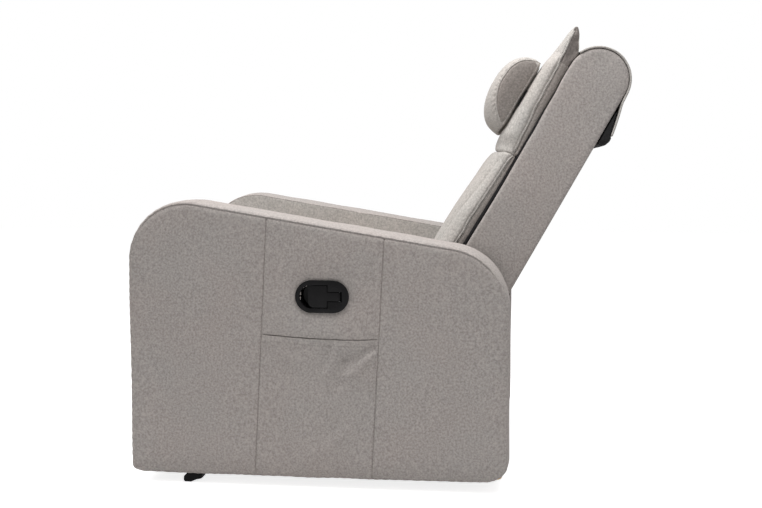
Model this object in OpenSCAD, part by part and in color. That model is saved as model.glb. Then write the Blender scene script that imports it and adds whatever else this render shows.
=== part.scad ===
// Recliner armchair with a pull handle in one arm, a two-stage scissor footrest and a back
// that leans while the seat glides forward. A padded overlay hooks over the back's top.
// +Z is up, the sitter faces -Y and +X is the sitter's left. The origin is on the floor in
// the middle of the chair's footprint.

/* [Arms] */
// Clear width between the arms
seat_gap = 500; // [480:5:560]
// Thickness of each arm across the chair
arm_thickness = 130; // [118:2:160]
// Distance from the origin forward to the front of the arms
front_reach = 538; // [520:2:560]
// Length of each arm from front to back
arm_length = 828; // [800:4:860]
// Height of the arm's top at its front corner
arm_front_height = 624; // [600:4:648]
// Height of the arm's top at its rear corner
arm_rear_height = 532; // [526:2:570]
// Radius of the arm's front top corner
arm_front_radius = 130; // [90:5:140]
// Radius of the arm's rear top corner
arm_rear_radius = 140; // [120:5:170]
// Radius of the arm's bottom corners
arm_bottom_radius = 22; // [18:1:40]
// Height of the arm's underside above the floor
arm_underside = 20; // [18:1:36]
// Thickness of the padded boxing strip that runs round the arm's edge
boxing_thickness = 12; // [8:1:15]
// How far the boxing strip falls away at its two sewn edges
boxing_crown = 4; // [2:1:6]
// Thickness of the padding on the arm's outer face
outer_padding = 16; // [14:1:20]
// Thickness of the padding on the arm's inner face
inner_padding = 12; // [8:1:16]
// Thickness of the plywood boards inside the arm
arm_board = 12; // [9:1:15]
// Distance from the arm's front to the front side seam at mid height
front_seam_setback = 293; // [270:2:310]
// Distance from the arm's front to the rear side seam at mid height
rear_seam_setback = 550; // [530:2:570]
// Lean of the side seams, in degrees
seam_lean = 3; // [0:0.5:5]

/* [Side pocket] */
// Height of the pocket's mouth above the floor
pocket_mouth = 333; // [280:5:350]
// Thickness of the pocket's cloth
pocket_cloth = 3; // [2:0.5:4]
// Depth of the space inside the pocket
pocket_space = 7; // [6:0.5:8]
// Width of the pocket's sewn border
pocket_border = 8; // [6:1:12]

/* [Pull handle] */
// Distance from the arm's front to the middle of the handle
handle_setback = 430; // [400:5:450]
// Height of the middle of the handle above the floor
handle_height = 421; // [410:1:440]
// Length of the handle's oblong face plate
bezel_length = 116; // [110:2:120]
// Height of the handle's oblong face plate
bezel_height = 70; // [68:1:76]
// Thickness of the face plate's rim
bezel_rim = 6; // [5:0.5:8]
// Depth of the finger cup behind the rim
cup_depth = 40; // [36:1:46]
// Wall of the finger cup
cup_wall = 2.5; // [2:0.5:4]
// Width of the rim outside the finger cup
cup_setback = 7; // [6:0.5:9]
// Width of the paddle's finger pad
paddle_width = 47; // [40:1:49]
// Thickness of the paddle
paddle_thickness = 3.5; // [3:0.5:4]
// Radius of the paddle's hinge pin
paddle_pin_radius = 2; // [1.5:0.25:2.5]
// Outer radius of the release cable
cable_radius = 2.75; // [2:0.25:3.5]

/* [Feet and cross rails] */
// Length of each foot from front to back
foot_length = 42; // [36:1:50]
// Width of each foot
foot_width = 30; // [24:1:50]
// Distance from each arm's outer face to the middle of its feet
foot_inset = 37; // [30:1:50]
// Distance from the arm's front to the front feet
front_foot_setback = 112; // [90:2:140]
// Distance from the arm's front to the rear feet
rear_foot_setback = 776; // [750:2:790]
// Distance of the rear feet from the chair's middle
rear_foot_offset = 205; // [180:5:215]
// Height of the square steel cross rails
cross_rail = 30; // [25:1:34]
// Height of the cross rails' undersides above the floor
cross_rail_height = 30; // [28:1:34]

/* [Mechanism] */
// Thickness of the steel plates and links
steel = 3; // [2.5:0.5:3]
// Gap between neighbouring layers of the mechanism
layer_gap = 2; // [1.5:0.25:2]
// Gap between the base plates and the seat plates
plate_gap = 4; // [3:0.5:5]
// Distance from the arm's front to the footrest's drive tube
drive_setback = 148; // [140:1:156]
// Height of the drive tube above the floor
drive_height = 315; // [311:1:317]
// Length of each scissor link between its end pivots
link_length = 210; // [190:2:220]
// Width of each scissor link
link_width = 22; // [18:1:22]
// Angle of the closed links from the vertical, in degrees
link_angle = 10; // [9.5:0.5:11]
// Radius of the link pivots
pivot_radius = 4; // [3:0.5:4.5]
// Outer radius of the drive tube
drive_radius = 9; // [8:0.5:10]
// Radius of the studs that guide the seat in the base plates
guide_radius = 5; // [4:0.5:6]
// Distance that the seat glides forward
glide_travel = 60; // [40:2:66]
// Rise of the glide slots, in degrees
glide_rise = 10; // [5:1:11]
// Distance from the arm's front to the front guide studs
front_guide_setback = 288; // [280:1:300]
// Distance from the arm's front to the rear guide studs
rear_guide_setback = 598; // [590:1:610]
// Height of the guide studs above the floor
guide_height = 320; // [316:1:324]
// Running clearance of the pins in their bores
running_clearance = 0.05; // [0.02:0.01:0.08]

/* [Seat] */
// Distance from the arm's front to the cushion's nose
seat_setback = 23; // [20:1:40]
// Distance from the arm's front to the cushion's rear
seat_depth_setback = 580; // [560:1:584]
// Height of the cushion's top
seat_height = 462; // [450:1:464]
// Height of the cushion's underside
seat_underside = 350; // [348:1:354]
// Radius of the cushion's front nose
seat_nose_radius = 48; // [30:2:54]
// Gap between the cushion and each arm
seat_side_gap = 5; // [3:1:8]

/* [Footrest] */
// Height of the footrest's lower edge above the floor
footrest_bottom = 60; // [50:2:80]
// Height of the footrest's upper edge above the floor
footrest_top = 327; // [322:1:332]
// Gap between the closed footrest's face and the front of the arms
footrest_setback = 8; // [4:1:12]
// Gap between the footrest and each arm
footrest_side_gap = 10; // [8:1:20]
// Thickness of the footrest's plywood board
footrest_board_thickness = 12; // [10:1:14]

/* [Back] */
// Lean of the back from the vertical, in degrees
back_lean = 31; // [30:0.5:32]
// Distance from the arm's front to the back's reference point
back_setback = 722; // [718:1:726]
// Height of the back's reference point above the floor
back_height = 527; // [523:1:531]
// Distance from the reference point up to the centre of the shell's round top
shell_rise = 458; // [450:1:475]
// Distance from the reference point down to the shell's bottom
shell_drop = 260; // [255:1:265]
// Radius of the shell's round top
shell_top_radius = 67; // [63:1:70]
// How much deeper the shell is at its bottom than at its top
shell_flare = 22; // [0:1:26]
// Thickness of the shell's padded cover
shell_cover = 8; // [6:1:10]
// Thickness of the boards and rails of the back's frame
back_board = 15; // [12:1:18]
// Thickness of the lumbar cushion
lumbar_thickness = 66; // [58:1:74]
// Thickness of the upper cushion
upper_thickness = 57; // [50:1:64]
// Distance from the reference point down to the lumbar cushion's end
lumbar_drop = 130; // [110:2:132]
// Distance from the reference point up to the seam between the cushions
cushion_seam = 212; // [200:2:224]
// Distance from the reference point up to the overlay's tip
tip_rise = 534; // [528:1:546]
// Thickness of the flap that hooks over the shell
flap_thickness = 5; // [4:0.5:8]
// Radius of the weight in the flap's hem
weight_radius = 12; // [8:1:13]

/* [Head pillow] */
// Distance from the reference point up to the pillow's middle
pillow_rise = 343; // [336:1:350]
// Height of the pillow along the back
pillow_height = 194; // [180:2:206]
// Depth of the pillow in front of the cushion
pillow_depth = 76; // [60:2:84]
// Length of the pillow across the chair
pillow_length = 400; // [360:5:430]

/* [Hidden] */

cloth = [0.58, 0.555, 0.535];
pale_cloth = [0.72, 0.70, 0.675];
black_plastic = [0.05, 0.05, 0.055];
black_steel = [0.12, 0.12, 0.13];
bright_steel = [0.62, 0.63, 0.65];
plywood = [0.76, 0.62, 0.44];
cut = 1;            // how far a cutting shape runs past the face that it cuts
round_fn = 64;      // facets of a drawn circle

// Places across the chair
half_gap = seat_gap / 2;
arm_outer = half_gap + arm_thickness;
outer_board_face = arm_outer - outer_padding;
outer_board_back = outer_board_face - arm_board;
inner_board_face = half_gap + inner_padding;
inner_board_back = inner_board_face + arm_board;
base_plate_x = half_gap - steel;
seat_plate_x = base_plate_x - plate_gap - steel;
outer_link_x = seat_plate_x - layer_gap - steel;
inner_link_x = outer_link_x - layer_gap - steel;
bracket_x = inner_link_x - layer_gap - steel;
back_half_width = outer_link_x - layer_gap;

// Places from front to back and up
arm_front = -front_reach;
arm_rear = arm_front + arm_length;
front_top = [arm_front + arm_front_radius, arm_front_height - arm_front_radius];
rear_top = [arm_rear - arm_rear_radius, arm_rear_height - arm_rear_radius];
front_bottom = [arm_front + arm_bottom_radius, arm_underside + arm_bottom_radius];
rear_bottom = [arm_rear - arm_bottom_radius, arm_underside + arm_bottom_radius];
top_run = rear_top - front_top;
top_normal = atan2(top_run[1], top_run[0])
    + acos((arm_front_radius - arm_rear_radius) / norm(top_run));
seam_middle = (arm_underside + arm_front_height) / 2;
front_seam = arm_front + front_seam_setback;
rear_seam = arm_front + rear_seam_setback;
handle = [arm_front + handle_setback, handle_height];
lobe = (bezel_length - bezel_height) / 2;
drive = [arm_front + drive_setback, drive_height];
recline_rise = -200;        // the recline pivot's place in the back's own directions
recline_depth = 60;
back_origin = [arm_front + back_setback, back_height];
recline = back_origin + recline_rise * [sin(back_lean), cos(back_lean)]
    + recline_depth * [cos(back_lean), -sin(back_lean)];
glide_step = glide_travel * [-cos(glide_rise), sin(glide_rise)];

// ---- Helpers ----

// Points of an arc in a plane
function arc(centre, radius, from, to, steps = 12) =
    [for (i = [0:steps])
        let (a = from + (to - from) * i / steps) centre + radius * [cos(a), sin(a)]];

// Outline of a rectangle with its own radius at each corner: low, high, then the radii
// from the low corner round by way of the second axis
function soft_box(low, high, radii) = concat(
    arc([low[0] + radii[0], low[1] + radii[0]], radii[0], 270, 180, 6),
    arc([low[0] + radii[1], high[1] - radii[1]], radii[1], 180, 90, 10),
    arc([high[0] - radii[2], high[1] - radii[2]], radii[2], 90, 0, 10),
    arc([high[0] - radii[3], low[1] + radii[3]], radii[3], 0, -90, 6));

function unit(v) = v / norm(v);

// Outline of the arm, set in by a distance
function arm_outline(inset) = concat(
    arc(front_top, arm_front_radius - inset, 180, top_normal, 14),
    arc(rear_top, arm_rear_radius - inset, top_normal, 0, 14),
    arc(rear_bottom, arm_bottom_radius - inset, 0, -90, 5),
    arc(front_bottom, arm_bottom_radius - inset, -90, -180, 5));

// Where a leaning side seam is at a height
function seam_at(seam, height) = seam + (height - seam_middle) * tan(seam_lean);

// Extrudes a front-to-back, upward outline across the chair
module across(from, to) {
    translate([from, 0, 0]) rotate([90, 0, 90]) linear_extrude(to - from) children();
}

// A round bar or bore that runs across the chair
module bar_x(from, to, place, radius) {
    translate([from, place[0], place[1]]) rotate([0, 90, 0])
        cylinder(h = to - from, r = radius, $fn = round_fn);
}

module right_side() { mirror([1, 0, 0]) children(); }

// Puts its children in the back's own directions: X across, Y to the rear, Z up the back
module in_back() {
    translate([0, back_origin[0], back_origin[1]]) rotate([-back_lean, 0, 0]) children();
}

// An oblong with round ends, its long side along the first axis
module oblong(length, height) {
    square([length - height, height], center = true);
    for (s = [-1, 1]) translate([s * (length - height) / 2, 0])
        circle(r = height / 2, $fn = round_fn);
}

// A flat bar with round ends between two places
module bar_2d(from, to, width) {
    run = to - from;
    translate(from) rotate(atan2(run[1], run[0])) translate([norm(run) / 2, 0])
        oblong(norm(run) + width, width);
}

// A tube swept along points; facing is a direction that the points never run along
module tube_along(points, radius, sides, facing) {
    last = len(points) - 1;
    rings = [for (i = [0:last])
        let (t = unit(points[min(i + 1, last)] - points[max(i - 1, 0)]),
            a = unit(cross(t, facing)), b = cross(t, a))
        [for (k = [0:sides - 1])
            points[i] + radius * (cos(360 * k / sides) * a + sin(360 * k / sides) * b)]];
    polyhedron([for (ring = rings) for (p = ring) p],
        concat(
            [[for (k = [0:sides - 1]) k]],
            [[for (k = [sides - 1:-1:0]) last * sides + k]],
            [for (i = [0:last - 1]) for (k = [0:sides - 1])
                [i * sides + k, (i + 1) * sides + k,
                 (i + 1) * sides + (k + 1) % sides, i * sides + (k + 1) % sides]]));
}

// ---- Arms ----

// The slice of the arm's side between two leaning seams
module side_region(from_seam, to_seam) {
    reach = arm_front_height;
    intersection() {
        polygon(arm_outline(boxing_thickness));
        polygon([[seam_at(from_seam, 0), 0], [seam_at(to_seam, 0), 0],
            [seam_at(to_seam, reach), reach], [seam_at(from_seam, reach), reach]]);
    }
}

module front_panel() {
    across(outer_board_face, arm_outer) side_region(arm_front - arm_length, front_seam);
}

module middle_panel() {
    across(outer_board_face, arm_outer) side_region(front_seam, rear_seam);
}

module rear_panel() {
    across(outer_board_face, arm_outer) side_region(rear_seam, arm_rear + arm_length);
}

// The padded strip round the arm's edge, falling away towards its seams
module boxing() {
    crown_width = 2 * boxing_crown;
    difference() {
        union() {
            across(half_gap, arm_outer) polygon(arm_outline(boxing_crown));
            across(half_gap + crown_width, arm_outer - crown_width) polygon(arm_outline(0));
        }
        across(half_gap - cut, arm_outer + cut) polygon(arm_outline(boxing_thickness));
    }
}

bolt_places = [for (y = [front_guide_setback - 40, rear_guide_setback - 20])
    for (z = [110, 240]) [arm_front + y, z]];
bolt_radius = 4;
bolt_head_radius = 7;
bolt_head = 2.5;
cable_end = [arm_front + 508, 195];

// Holes through which the bolts and, on the handle's side, the cable reach the arm
module inner_holes(from, to, with_cable) {
    for (place = bolt_places) bar_x(from, to, place, bolt_radius);
    if (with_cable) bar_x(from, to, cable_end, cable_radius + 0.5);
}

module inner_panel(with_cable) {
    difference() {
        across(half_gap, inner_board_face) polygon(arm_outline(boxing_thickness));
        inner_holes(half_gap - cut, inner_board_face + cut, with_cable);
    }
}

post_width = 45;

// Two boards held apart by a front post, a rear post, a top rail and a bottom rail
module arm_frame(with_handle) {
    span_low = arm_underside + boxing_thickness;
    difference() {
        union() {
            across(inner_board_face, inner_board_back)
                polygon(arm_outline(boxing_thickness));
            across(outer_board_back, outer_board_face)
                polygon(arm_outline(boxing_thickness));
            across(inner_board_back, outer_board_back) {
                translate([front_top[0] - post_width, span_low])
                    square([post_width, front_top[1] - span_low]);
                translate([rear_top[0], span_low])
                    square([post_width, rear_top[1] - span_low]);
                translate([front_top[0], span_low])
                    square([top_run[0], post_width]);
            }
        }
        inner_holes(inner_board_face - cut, inner_board_back + cut, with_handle);
        if (with_handle) cup_hole(outer_board_back - cut, outer_board_face + cut);
    }
}

// ---- Pocket ----

mouth_rise = 12;        // height of the open way in above the pocket's mouth
mouth_slope = 26;       // height of the slope above that, out to the panel's face

module pocket_region() {
    intersection() {
        side_region(front_seam, rear_seam);
        translate([arm_front, 0]) square([arm_length, pocket_mouth]);
    }
}

// The space inside the pocket, within its sewn border
module pocket_room() {
    low = arm_underside + boxing_thickness + pocket_border;
    intersection() {
        side_region(front_seam + pocket_border, rear_seam - pocket_border);
        translate([arm_front, low]) square([arm_length, pocket_mouth]);
    }
}

module pocket() {
    back = arm_outer - pocket_cloth - pocket_space;
    difference() {
        across(back, arm_outer) pocket_region();
        across(back - cut, arm_outer - pocket_cloth) pocket_room();
    }
}

// What is cut from the panel behind the pocket, with a sloping way in above its mouth
module pocket_recess() {
    back = arm_outer - pocket_cloth - pocket_space;
    across(back, arm_outer + cut) intersection() {
        side_region(front_seam, rear_seam);
        translate([arm_front, 0]) square([arm_length, pocket_mouth + mouth_rise]);
    }
    low = pocket_mouth + mouth_rise - cut;
    translate([0, rear_seam - pocket_border, 0]) rotate([90, 0, 0])
        linear_extrude(rear_seam - front_seam - 2 * pocket_border)
        polygon([[back, low], [arm_outer + cut, low], [arm_outer + cut, low + mouth_slope]]);
}

module left_middle_panel() {
    difference() {
        middle_panel();
        pocket_recess();
        cup_hole(outer_board_face - cut, arm_outer - bezel_rim);
        across(arm_outer - bezel_rim, arm_outer + cut)
            translate(handle) oblong(bezel_length, bezel_height);
    }
}

// ---- Pull handle ----

cup_length = bezel_length - 2 * cup_setback;
cup_height = bezel_height - 2 * cup_setback;
cup_clearance = 2;
face_plate = 4;
hinge_x = arm_outer - 9;
hinge_y = handle[0] + 37;
barrel_radius = 4.5;
barrel_half = 9.5;
pad_front = handle[0] - 30;
pad_rear = handle[0] + 11;
paddle_gap = 1.5;
ferrule_x = arm_outer - bezel_rim - cup_depth + 9;
ear_top = 13;
ear_bottom = 20;
ear_thickness = 3;

// The hole in the arm's foam and board that the finger cup goes through
module cup_hole(from, to) {
    across(from, to) translate(handle)
        oblong(cup_length + 2 * cup_clearance, cup_height + 2 * cup_clearance);
}

// Round front lobe, pad slot and tongue slot of the face plate
module bezel_opening() {
    lobe_radius = cup_height / 2 - cup_wall;
    translate([handle[0] - lobe, handle[1]]) circle(r = lobe_radius, $fn = round_fn);
    translate([handle[0] - lobe, handle[1] - paddle_width / 2 - paddle_gap])
        square([pad_rear - handle[0] + lobe + paddle_gap, paddle_width + 2 * paddle_gap]);
    translate([pad_rear - cut, handle[1] - barrel_half - paddle_gap])
        square([hinge_y + barrel_radius + paddle_gap - pad_rear + cut,
            2 * (barrel_half + paddle_gap)]);
}

module bezel() {
    cup_floor = arm_outer - bezel_rim - cup_depth;
    cup_rear = handle[0] + cup_length / 2;
    difference() {
        union() {
            across(arm_outer - bezel_rim, arm_outer)
                translate(handle) oblong(bezel_length, bezel_height);
            across(cup_floor, arm_outer - bezel_rim)
                translate(handle) oblong(cup_length, cup_height);
            translate([ferrule_x, cup_rear - cup_wall, handle[1]]) rotate([-90, 0, 0])
                cylinder(h = 8 + cup_wall, r = 2 * cable_radius, $fn = round_fn);
        }
        across(cup_floor + cup_wall, arm_outer - face_plate) translate(handle)
            oblong(cup_length - 2 * cup_wall, cup_height - 2 * cup_wall);
        across(arm_outer - face_plate - cut, arm_outer + cut) bezel_opening();
        translate([ferrule_x, cup_rear, handle[1]]) rotate([-90, 0, 0])
            cylinder(h = 10 + cup_wall, r = cable_radius, $fn = round_fn);
    }
    ears();
}

// Two ears behind the face plate that hold the hinge pin
module ears() {
    depth = arm_outer - face_plate - hinge_x + barrel_radius;
    for (z = [-ear_bottom, ear_top - ear_thickness]) difference() {
        translate([hinge_x - barrel_radius, hinge_y - barrel_radius, handle[1] + z])
            cube([depth, 2 * barrel_radius, ear_thickness]);
        translate([hinge_x, hinge_y, handle[1] + z - cut])
            cylinder(h = ear_thickness + 2 * cut, r = paddle_pin_radius, $fn = round_fn);
    }
}

module pin() {
    translate([hinge_x, hinge_y, handle[1] - ear_bottom])
        cylinder(h = ear_bottom + ear_top, r = paddle_pin_radius, $fn = round_fn);
}

// Finger pad, tongue and hinge barrel, with the lever that pulls the cable
module paddle() {
    face = arm_outer - 1;
    corner = 12;
    lever_reach = 24;
    difference() {
        union() {
            across(face - paddle_thickness, face) {
                polygon([for (p = soft_box([pad_front, handle[1] - paddle_width / 2],
                    [pad_rear, handle[1] + paddle_width / 2], [corner, corner, 3, 3])) p]);
                translate([pad_rear - cut, handle[1] - barrel_half])
                    square([hinge_y - pad_rear + cut, 2 * barrel_half]);
            }
            translate([hinge_x, hinge_y, handle[1] - barrel_half])
                cylinder(h = 2 * barrel_half, r = barrel_radius, $fn = round_fn);
            translate([hinge_x, hinge_y - barrel_radius, handle[1] - barrel_half])
                cube([face - hinge_x, barrel_radius, 2 * barrel_half]);
            translate([hinge_x - lever_reach, hinge_y - 2, handle[1] - 4])
                cube([lever_reach, 4, 8]);
        }
        translate([hinge_x, hinge_y, handle[1] - barrel_half - cut])
            cylinder(h = 2 * barrel_half + 2 * cut,
                r = paddle_pin_radius + running_clearance, $fn = round_fn);
    }
}

module pin_spring() {
    turns = 4;
    wire = 0.5;
    low = handle[1] - ear_bottom + ear_thickness + wire;
    high = handle[1] - barrel_half - 2 * wire;
    coil_radius = paddle_pin_radius + 1.2;
    steps = 12 * turns;
    tube_along([for (i = [0:steps]) let (a = 360 * turns * i / steps)
        [hinge_x + coil_radius * cos(a), hinge_y + coil_radius * sin(a),
         low + (high - low) * i / steps]], wire, 6, [0, 0, 1]);
}

// The cable leaves the cup's rear, drops inside the arm and ends at the base plate
cable_points = [[ferrule_x, handle[0] + cup_length / 2, handle[1]],
    [ferrule_x, handle[0] + 62, handle[1]],
    [ferrule_x, handle[0] + 80, handle[1] - 2],
    [ferrule_x - 2, handle[0] + 96, handle[1] - 9],
    [ferrule_x - 6, handle[0] + 108, handle[1] - 24],
    [ferrule_x - 12, handle[0] + 114, handle[1] - 46],
    [ferrule_x - 18, handle[0] + 115, handle[1] - 74],
    [ferrule_x - 25, handle[0] + 110, handle[1] - 106],
    [ferrule_x - 32, handle[0] + 102, handle[1] - 140],
    [inner_board_back + 30, cable_end[0] + 14, cable_end[1] + 42],
    [inner_board_back + 22, cable_end[0] + 6, cable_end[1] + 20],
    [inner_board_back + 12, cable_end[0] + 1, cable_end[1] + 5],
    [inner_board_back + 2, cable_end[0], cable_end[1]],
    [inner_board_face, cable_end[0], cable_end[1]],
    [base_plate_x - 4, cable_end[0], cable_end[1]]];

module cable() { tube_along(cable_points, cable_radius, 10, [1, 1, 0.2]); }

// ---- Feet, rails and base plates ----

module foot_block(low, high, x) {
    translate([0, low, 0]) across(x - foot_width / 2, x + foot_width / 2)
        polygon([[8, high], [0, 12], [0, 3], [3, 0], [17, 0], [28, 5],
            [foot_length, 8.5], [foot_length, high]]);
}

front_foot = arm_front + front_foot_setback;
rear_foot = arm_front + rear_foot_setback;
rail_top = cross_rail_height + cross_rail;

module cross_rail_at(y) {
    translate([-base_plate_x, y, cross_rail_height]) difference() {
        cube([2 * base_plate_x, cross_rail, cross_rail]);
        translate([-cut, steel, steel])
            cube([2 * (base_plate_x + cut), cross_rail - 2 * steel, cross_rail - 2 * steel]);
    }
}

// A slot for a guide stud, from the stud's place at rest along the glide
module glide_slot(place) {
    across(base_plate_x - cut, half_gap + cut)
        bar_2d(place, place + glide_step, 2 * (guide_radius + running_clearance));
}

front_guide = [arm_front + front_guide_setback, guide_height];
rear_guide = [arm_front + rear_guide_setback, guide_height];
latch_pivot = [arm_front + 448, 250];
latch_pin = [arm_front + 388, drive_height - 15];

module base_plate() {
    slot_room = 30;
    plate_low = cross_rail_height;
    difference() {
        across(base_plate_x, half_gap) {
            translate([front_foot, plate_low])
                square([rear_foot + foot_length - front_foot, cross_rail + 10]);
            translate([front_guide[0] + glide_step[0] - slot_room, plate_low])
                square([rear_guide[0] - front_guide[0] - glide_step[0] + 1.5 * slot_room,
                    guide_height + glide_step[1] + slot_room / 2 - plate_low]);
        }
        glide_slot(front_guide);
        glide_slot(rear_guide);
        for (place = bolt_places)
            bar_x(base_plate_x - cut, half_gap + cut, place, bolt_radius);
    }
}

module left_base_plate() {
    difference() {
        base_plate();
        bar_x(base_plate_x - cut, half_gap + cut, cable_end, cable_radius);
    }
    bar_x(seat_plate_x - 6, base_plate_x + cut, latch_pivot, guide_radius);
}

module bolts() {
    for (s = [0, 1]) mirror([s, 0, 0]) for (place = bolt_places) {
        bar_x(base_plate_x - bolt_head, base_plate_x, place, bolt_head_radius);
        bar_x(base_plate_x - bolt_head / 2, inner_board_back + 6, place, bolt_radius);
    }
}

// The pawl's tooth stands just below the latch pin's path
module pawl() {
    tooth = [latch_pin[0] - 8, latch_pin[1] - pivot_radius - 1];
    difference() {
        across(seat_plate_x - 5, seat_plate_x - 1) {
            bar_2d(latch_pivot, [tooth[0], tooth[1] - 14], link_width);
            bar_2d(latch_pivot, latch_pivot + [26, -34], 14);
            polygon([[tooth[0] + 6, tooth[1] - 14], [tooth[0] + 3, tooth[1]],
                [tooth[0] - 3, tooth[1]], [tooth[0] - 8, tooth[1] - 14]]);
        }
        bar_x(seat_plate_x - 6, seat_plate_x, latch_pivot, guide_radius + running_clearance);
    }
}

// ---- Seat ----

plate_bar_low = guide_height - 30;
slot_clearance = 0.3;
closed_drop = link_length * cos(link_angle);
open_drop = link_length * cos(link_angle + 65);
rail_depth = 30;
rail_height = 20;
front_rail = arm_front + 63;
rear_rail = recline[0] - 127;
recline_radius = 6;
recline_boss = 22;

module seat_plate() {
    leg_low = drive[1] - closed_drop - 16;
    bar_front = front_rail;
    bar_rear = recline[0];
    bore_low = seat_plate_x - cut;
    bore_high = seat_plate_x + steel + cut;
    slide = pivot_radius + slot_clearance;
    difference() {
        across(seat_plate_x, seat_plate_x + steel) {
            translate([bar_front, plate_bar_low])
                square([bar_rear - bar_front, seat_underside - plate_bar_low]);
            bar_2d([recline[0], guide_height], recline, 2 * recline_boss);
            translate([drive[0] - 16, leg_low]) square([32, plate_bar_low - leg_low + cut]);
        }
        bar_x(bore_low, bore_high, drive, drive_radius + running_clearance);
        bar_x(bore_low, bore_high, front_guide, guide_radius);
        bar_x(bore_low, bore_high, rear_guide, guide_radius);
        across(bore_low, bore_high)
            bar_2d(drive - [0, closed_drop], drive - [0, open_drop], 2 * slide);
    }
    bar_x(outer_link_x, seat_plate_x + cut, recline, recline_radius);
}

module left_seat_plate() {
    seat_plate();
    bar_x(seat_plate_x - 5.5, seat_plate_x + cut, latch_pin, pivot_radius);
}

module guide_studs() {
    for (s = [0, 1]) mirror([s, 0, 0]) for (place = [front_guide, rear_guide]) {
        bar_x(seat_plate_x - layer_gap, seat_plate_x, place, guide_radius + 4);
        bar_x(seat_plate_x - layer_gap / 2, half_gap - 0.5, place, guide_radius);
    }
}

module seat_rail(y) {
    translate([-seat_plate_x, y, seat_underside - rail_height])
        cube([2 * seat_plate_x, rail_depth, rail_height]);
}

// Wave springs between the two rails
module wave_springs() {
    wire = 2;
    lead = 6;
    wave = 60;
    sway = 22;
    start = rear_rail;
    end = front_rail + rail_depth;
    run = start - end - 2 * lead;
    bends = round(2 * run / wave);
    steps = 3 * bends;
    for (x = [-150, -50, 50, 150]) tube_along(concat(
        [[x, start, 0]],
        [for (i = [0:steps]) [x + sway * sin(180 * bends * i / steps),
            start - lead - run * i / steps, 0]],
        [[x, end, 0]]), wire, 6, [0, 0, 1]);
}

module springs() { translate([0, 0, seat_underside - 4]) wave_springs(); }

module cushion_seat() {
    nose = arm_front + seat_setback;
    tail = arm_front + seat_depth_setback;
    half = half_gap - seat_side_gap;
    low = seat_underside + 0.3;
    intersection() {
        across(-half, half) polygon(soft_box([nose, low], [tail, seat_height],
            [30, seat_nose_radius, 14, 10]));
        translate([0, tail, 0]) rotate([90, 0, 0]) linear_extrude(tail - nose)
            polygon(soft_box([-half, low], [half, seat_height], [12, 26, 26, 12]));
    }
}

// ---- Footrest linkage ----

link_run = link_length * [-sin(link_angle), cos(link_angle)];   // forward and up
stage_one_foot = drive + [link_run[0], -link_run[1]];
stage_one_top = drive + [link_run[0], 0];
stage_two_foot = drive + [2 * link_run[0], -link_run[1]];
stage_two_top = drive + [2 * link_run[0], 0];
rear_foot_pivot = drive - [0, link_run[1]];
stage_one_middle = (drive + stage_one_foot) / 2;
stage_two_middle = (stage_one_foot + stage_two_top) / 2;
bore_radius = pivot_radius + running_clearance;

module link_plate(x, from, to) {
    across(x, x + steel) bar_2d(from, to, link_width);
}

// From the drive tube down and forward
module link_a1() {
    difference() {
        union() {
            link_plate(outer_link_x, drive, stage_one_foot);
            bar_x(outer_link_x, outer_link_x + steel, drive, drive_radius + 7);
        }
        bar_x(outer_link_x - cut, outer_link_x + steel + cut, drive, drive_radius);
    }
    for (place = [stage_one_middle, stage_one_foot])
        bar_x(inner_link_x, outer_link_x + cut, place, pivot_radius);
}

// Crosses link A1 and slides in the seat plate's slot at its rear end
module link_a2() {
    difference() {
        link_plate(inner_link_x, rear_foot_pivot, stage_one_top);
        bar_x(inner_link_x - cut, outer_link_x, stage_one_middle, bore_radius);
    }
    bar_x(inner_link_x + cut, seat_plate_x + steel, rear_foot_pivot, pivot_radius);
    bar_x(inner_link_x + cut, outer_link_x + steel, stage_one_top, pivot_radius);
}

// From link A2's top down and forward
module link_b1() {
    difference() {
        link_plate(outer_link_x, stage_one_top, stage_two_foot);
        bar_x(outer_link_x - cut, outer_link_x + steel + cut, stage_one_top, bore_radius);
        bar_x(outer_link_x - cut, outer_link_x + steel + cut, stage_two_middle,
            pivot_radius + slot_clearance);
    }
}

// From link A1's foot up and forward to the footrest
module link_b2() {
    difference() {
        link_plate(inner_link_x, stage_one_foot, stage_two_top);
        bar_x(inner_link_x - cut, outer_link_x, stage_one_foot, bore_radius);
    }
    bar_x(inner_link_x + cut, outer_link_x + steel, stage_two_middle, pivot_radius);
    bar_x(bracket_x, inner_link_x + cut, stage_two_top, pivot_radius);
}

module tube() {
    bar_x(-seat_plate_x - steel, seat_plate_x + steel, drive, drive_radius);
}

// ---- Footrest ----

footrest_face = arm_front + footrest_setback;
board_rear = stage_two_top[0] - link_width / 2 - 4;
board_front = board_rear - footrest_board_thickness;
footrest_half = half_gap - footrest_side_gap;
board_inset = 8;

module footrest_bracket() {
    foot = footrest_bottom + 60;
    difference() {
        across(bracket_x, bracket_x + steel) {
            bar_2d(stage_two_top, [board_rear + 6, stage_two_top[1]], link_width);
            translate([board_rear, foot]) square([16, stage_two_top[1] - foot]);
        }
        bar_x(bracket_x - cut, inner_link_x, stage_two_top, bore_radius);
        translate([bracket_x - cut, board_front, 0]) cube([steel + 2 * cut,
            footrest_board_thickness, footrest_top + cut]);
    }
    translate([bracket_x - 18, board_rear, foot])
        cube([18 + steel, steel, stage_two_top[1] - foot - link_width]);
}

module board() {
    half = footrest_half - board_inset;
    translate([-half, board_front, footrest_bottom + board_inset])
        cube([2 * half, footrest_board_thickness,
            footrest_top - footrest_bottom - 2 * board_inset]);
}

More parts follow.
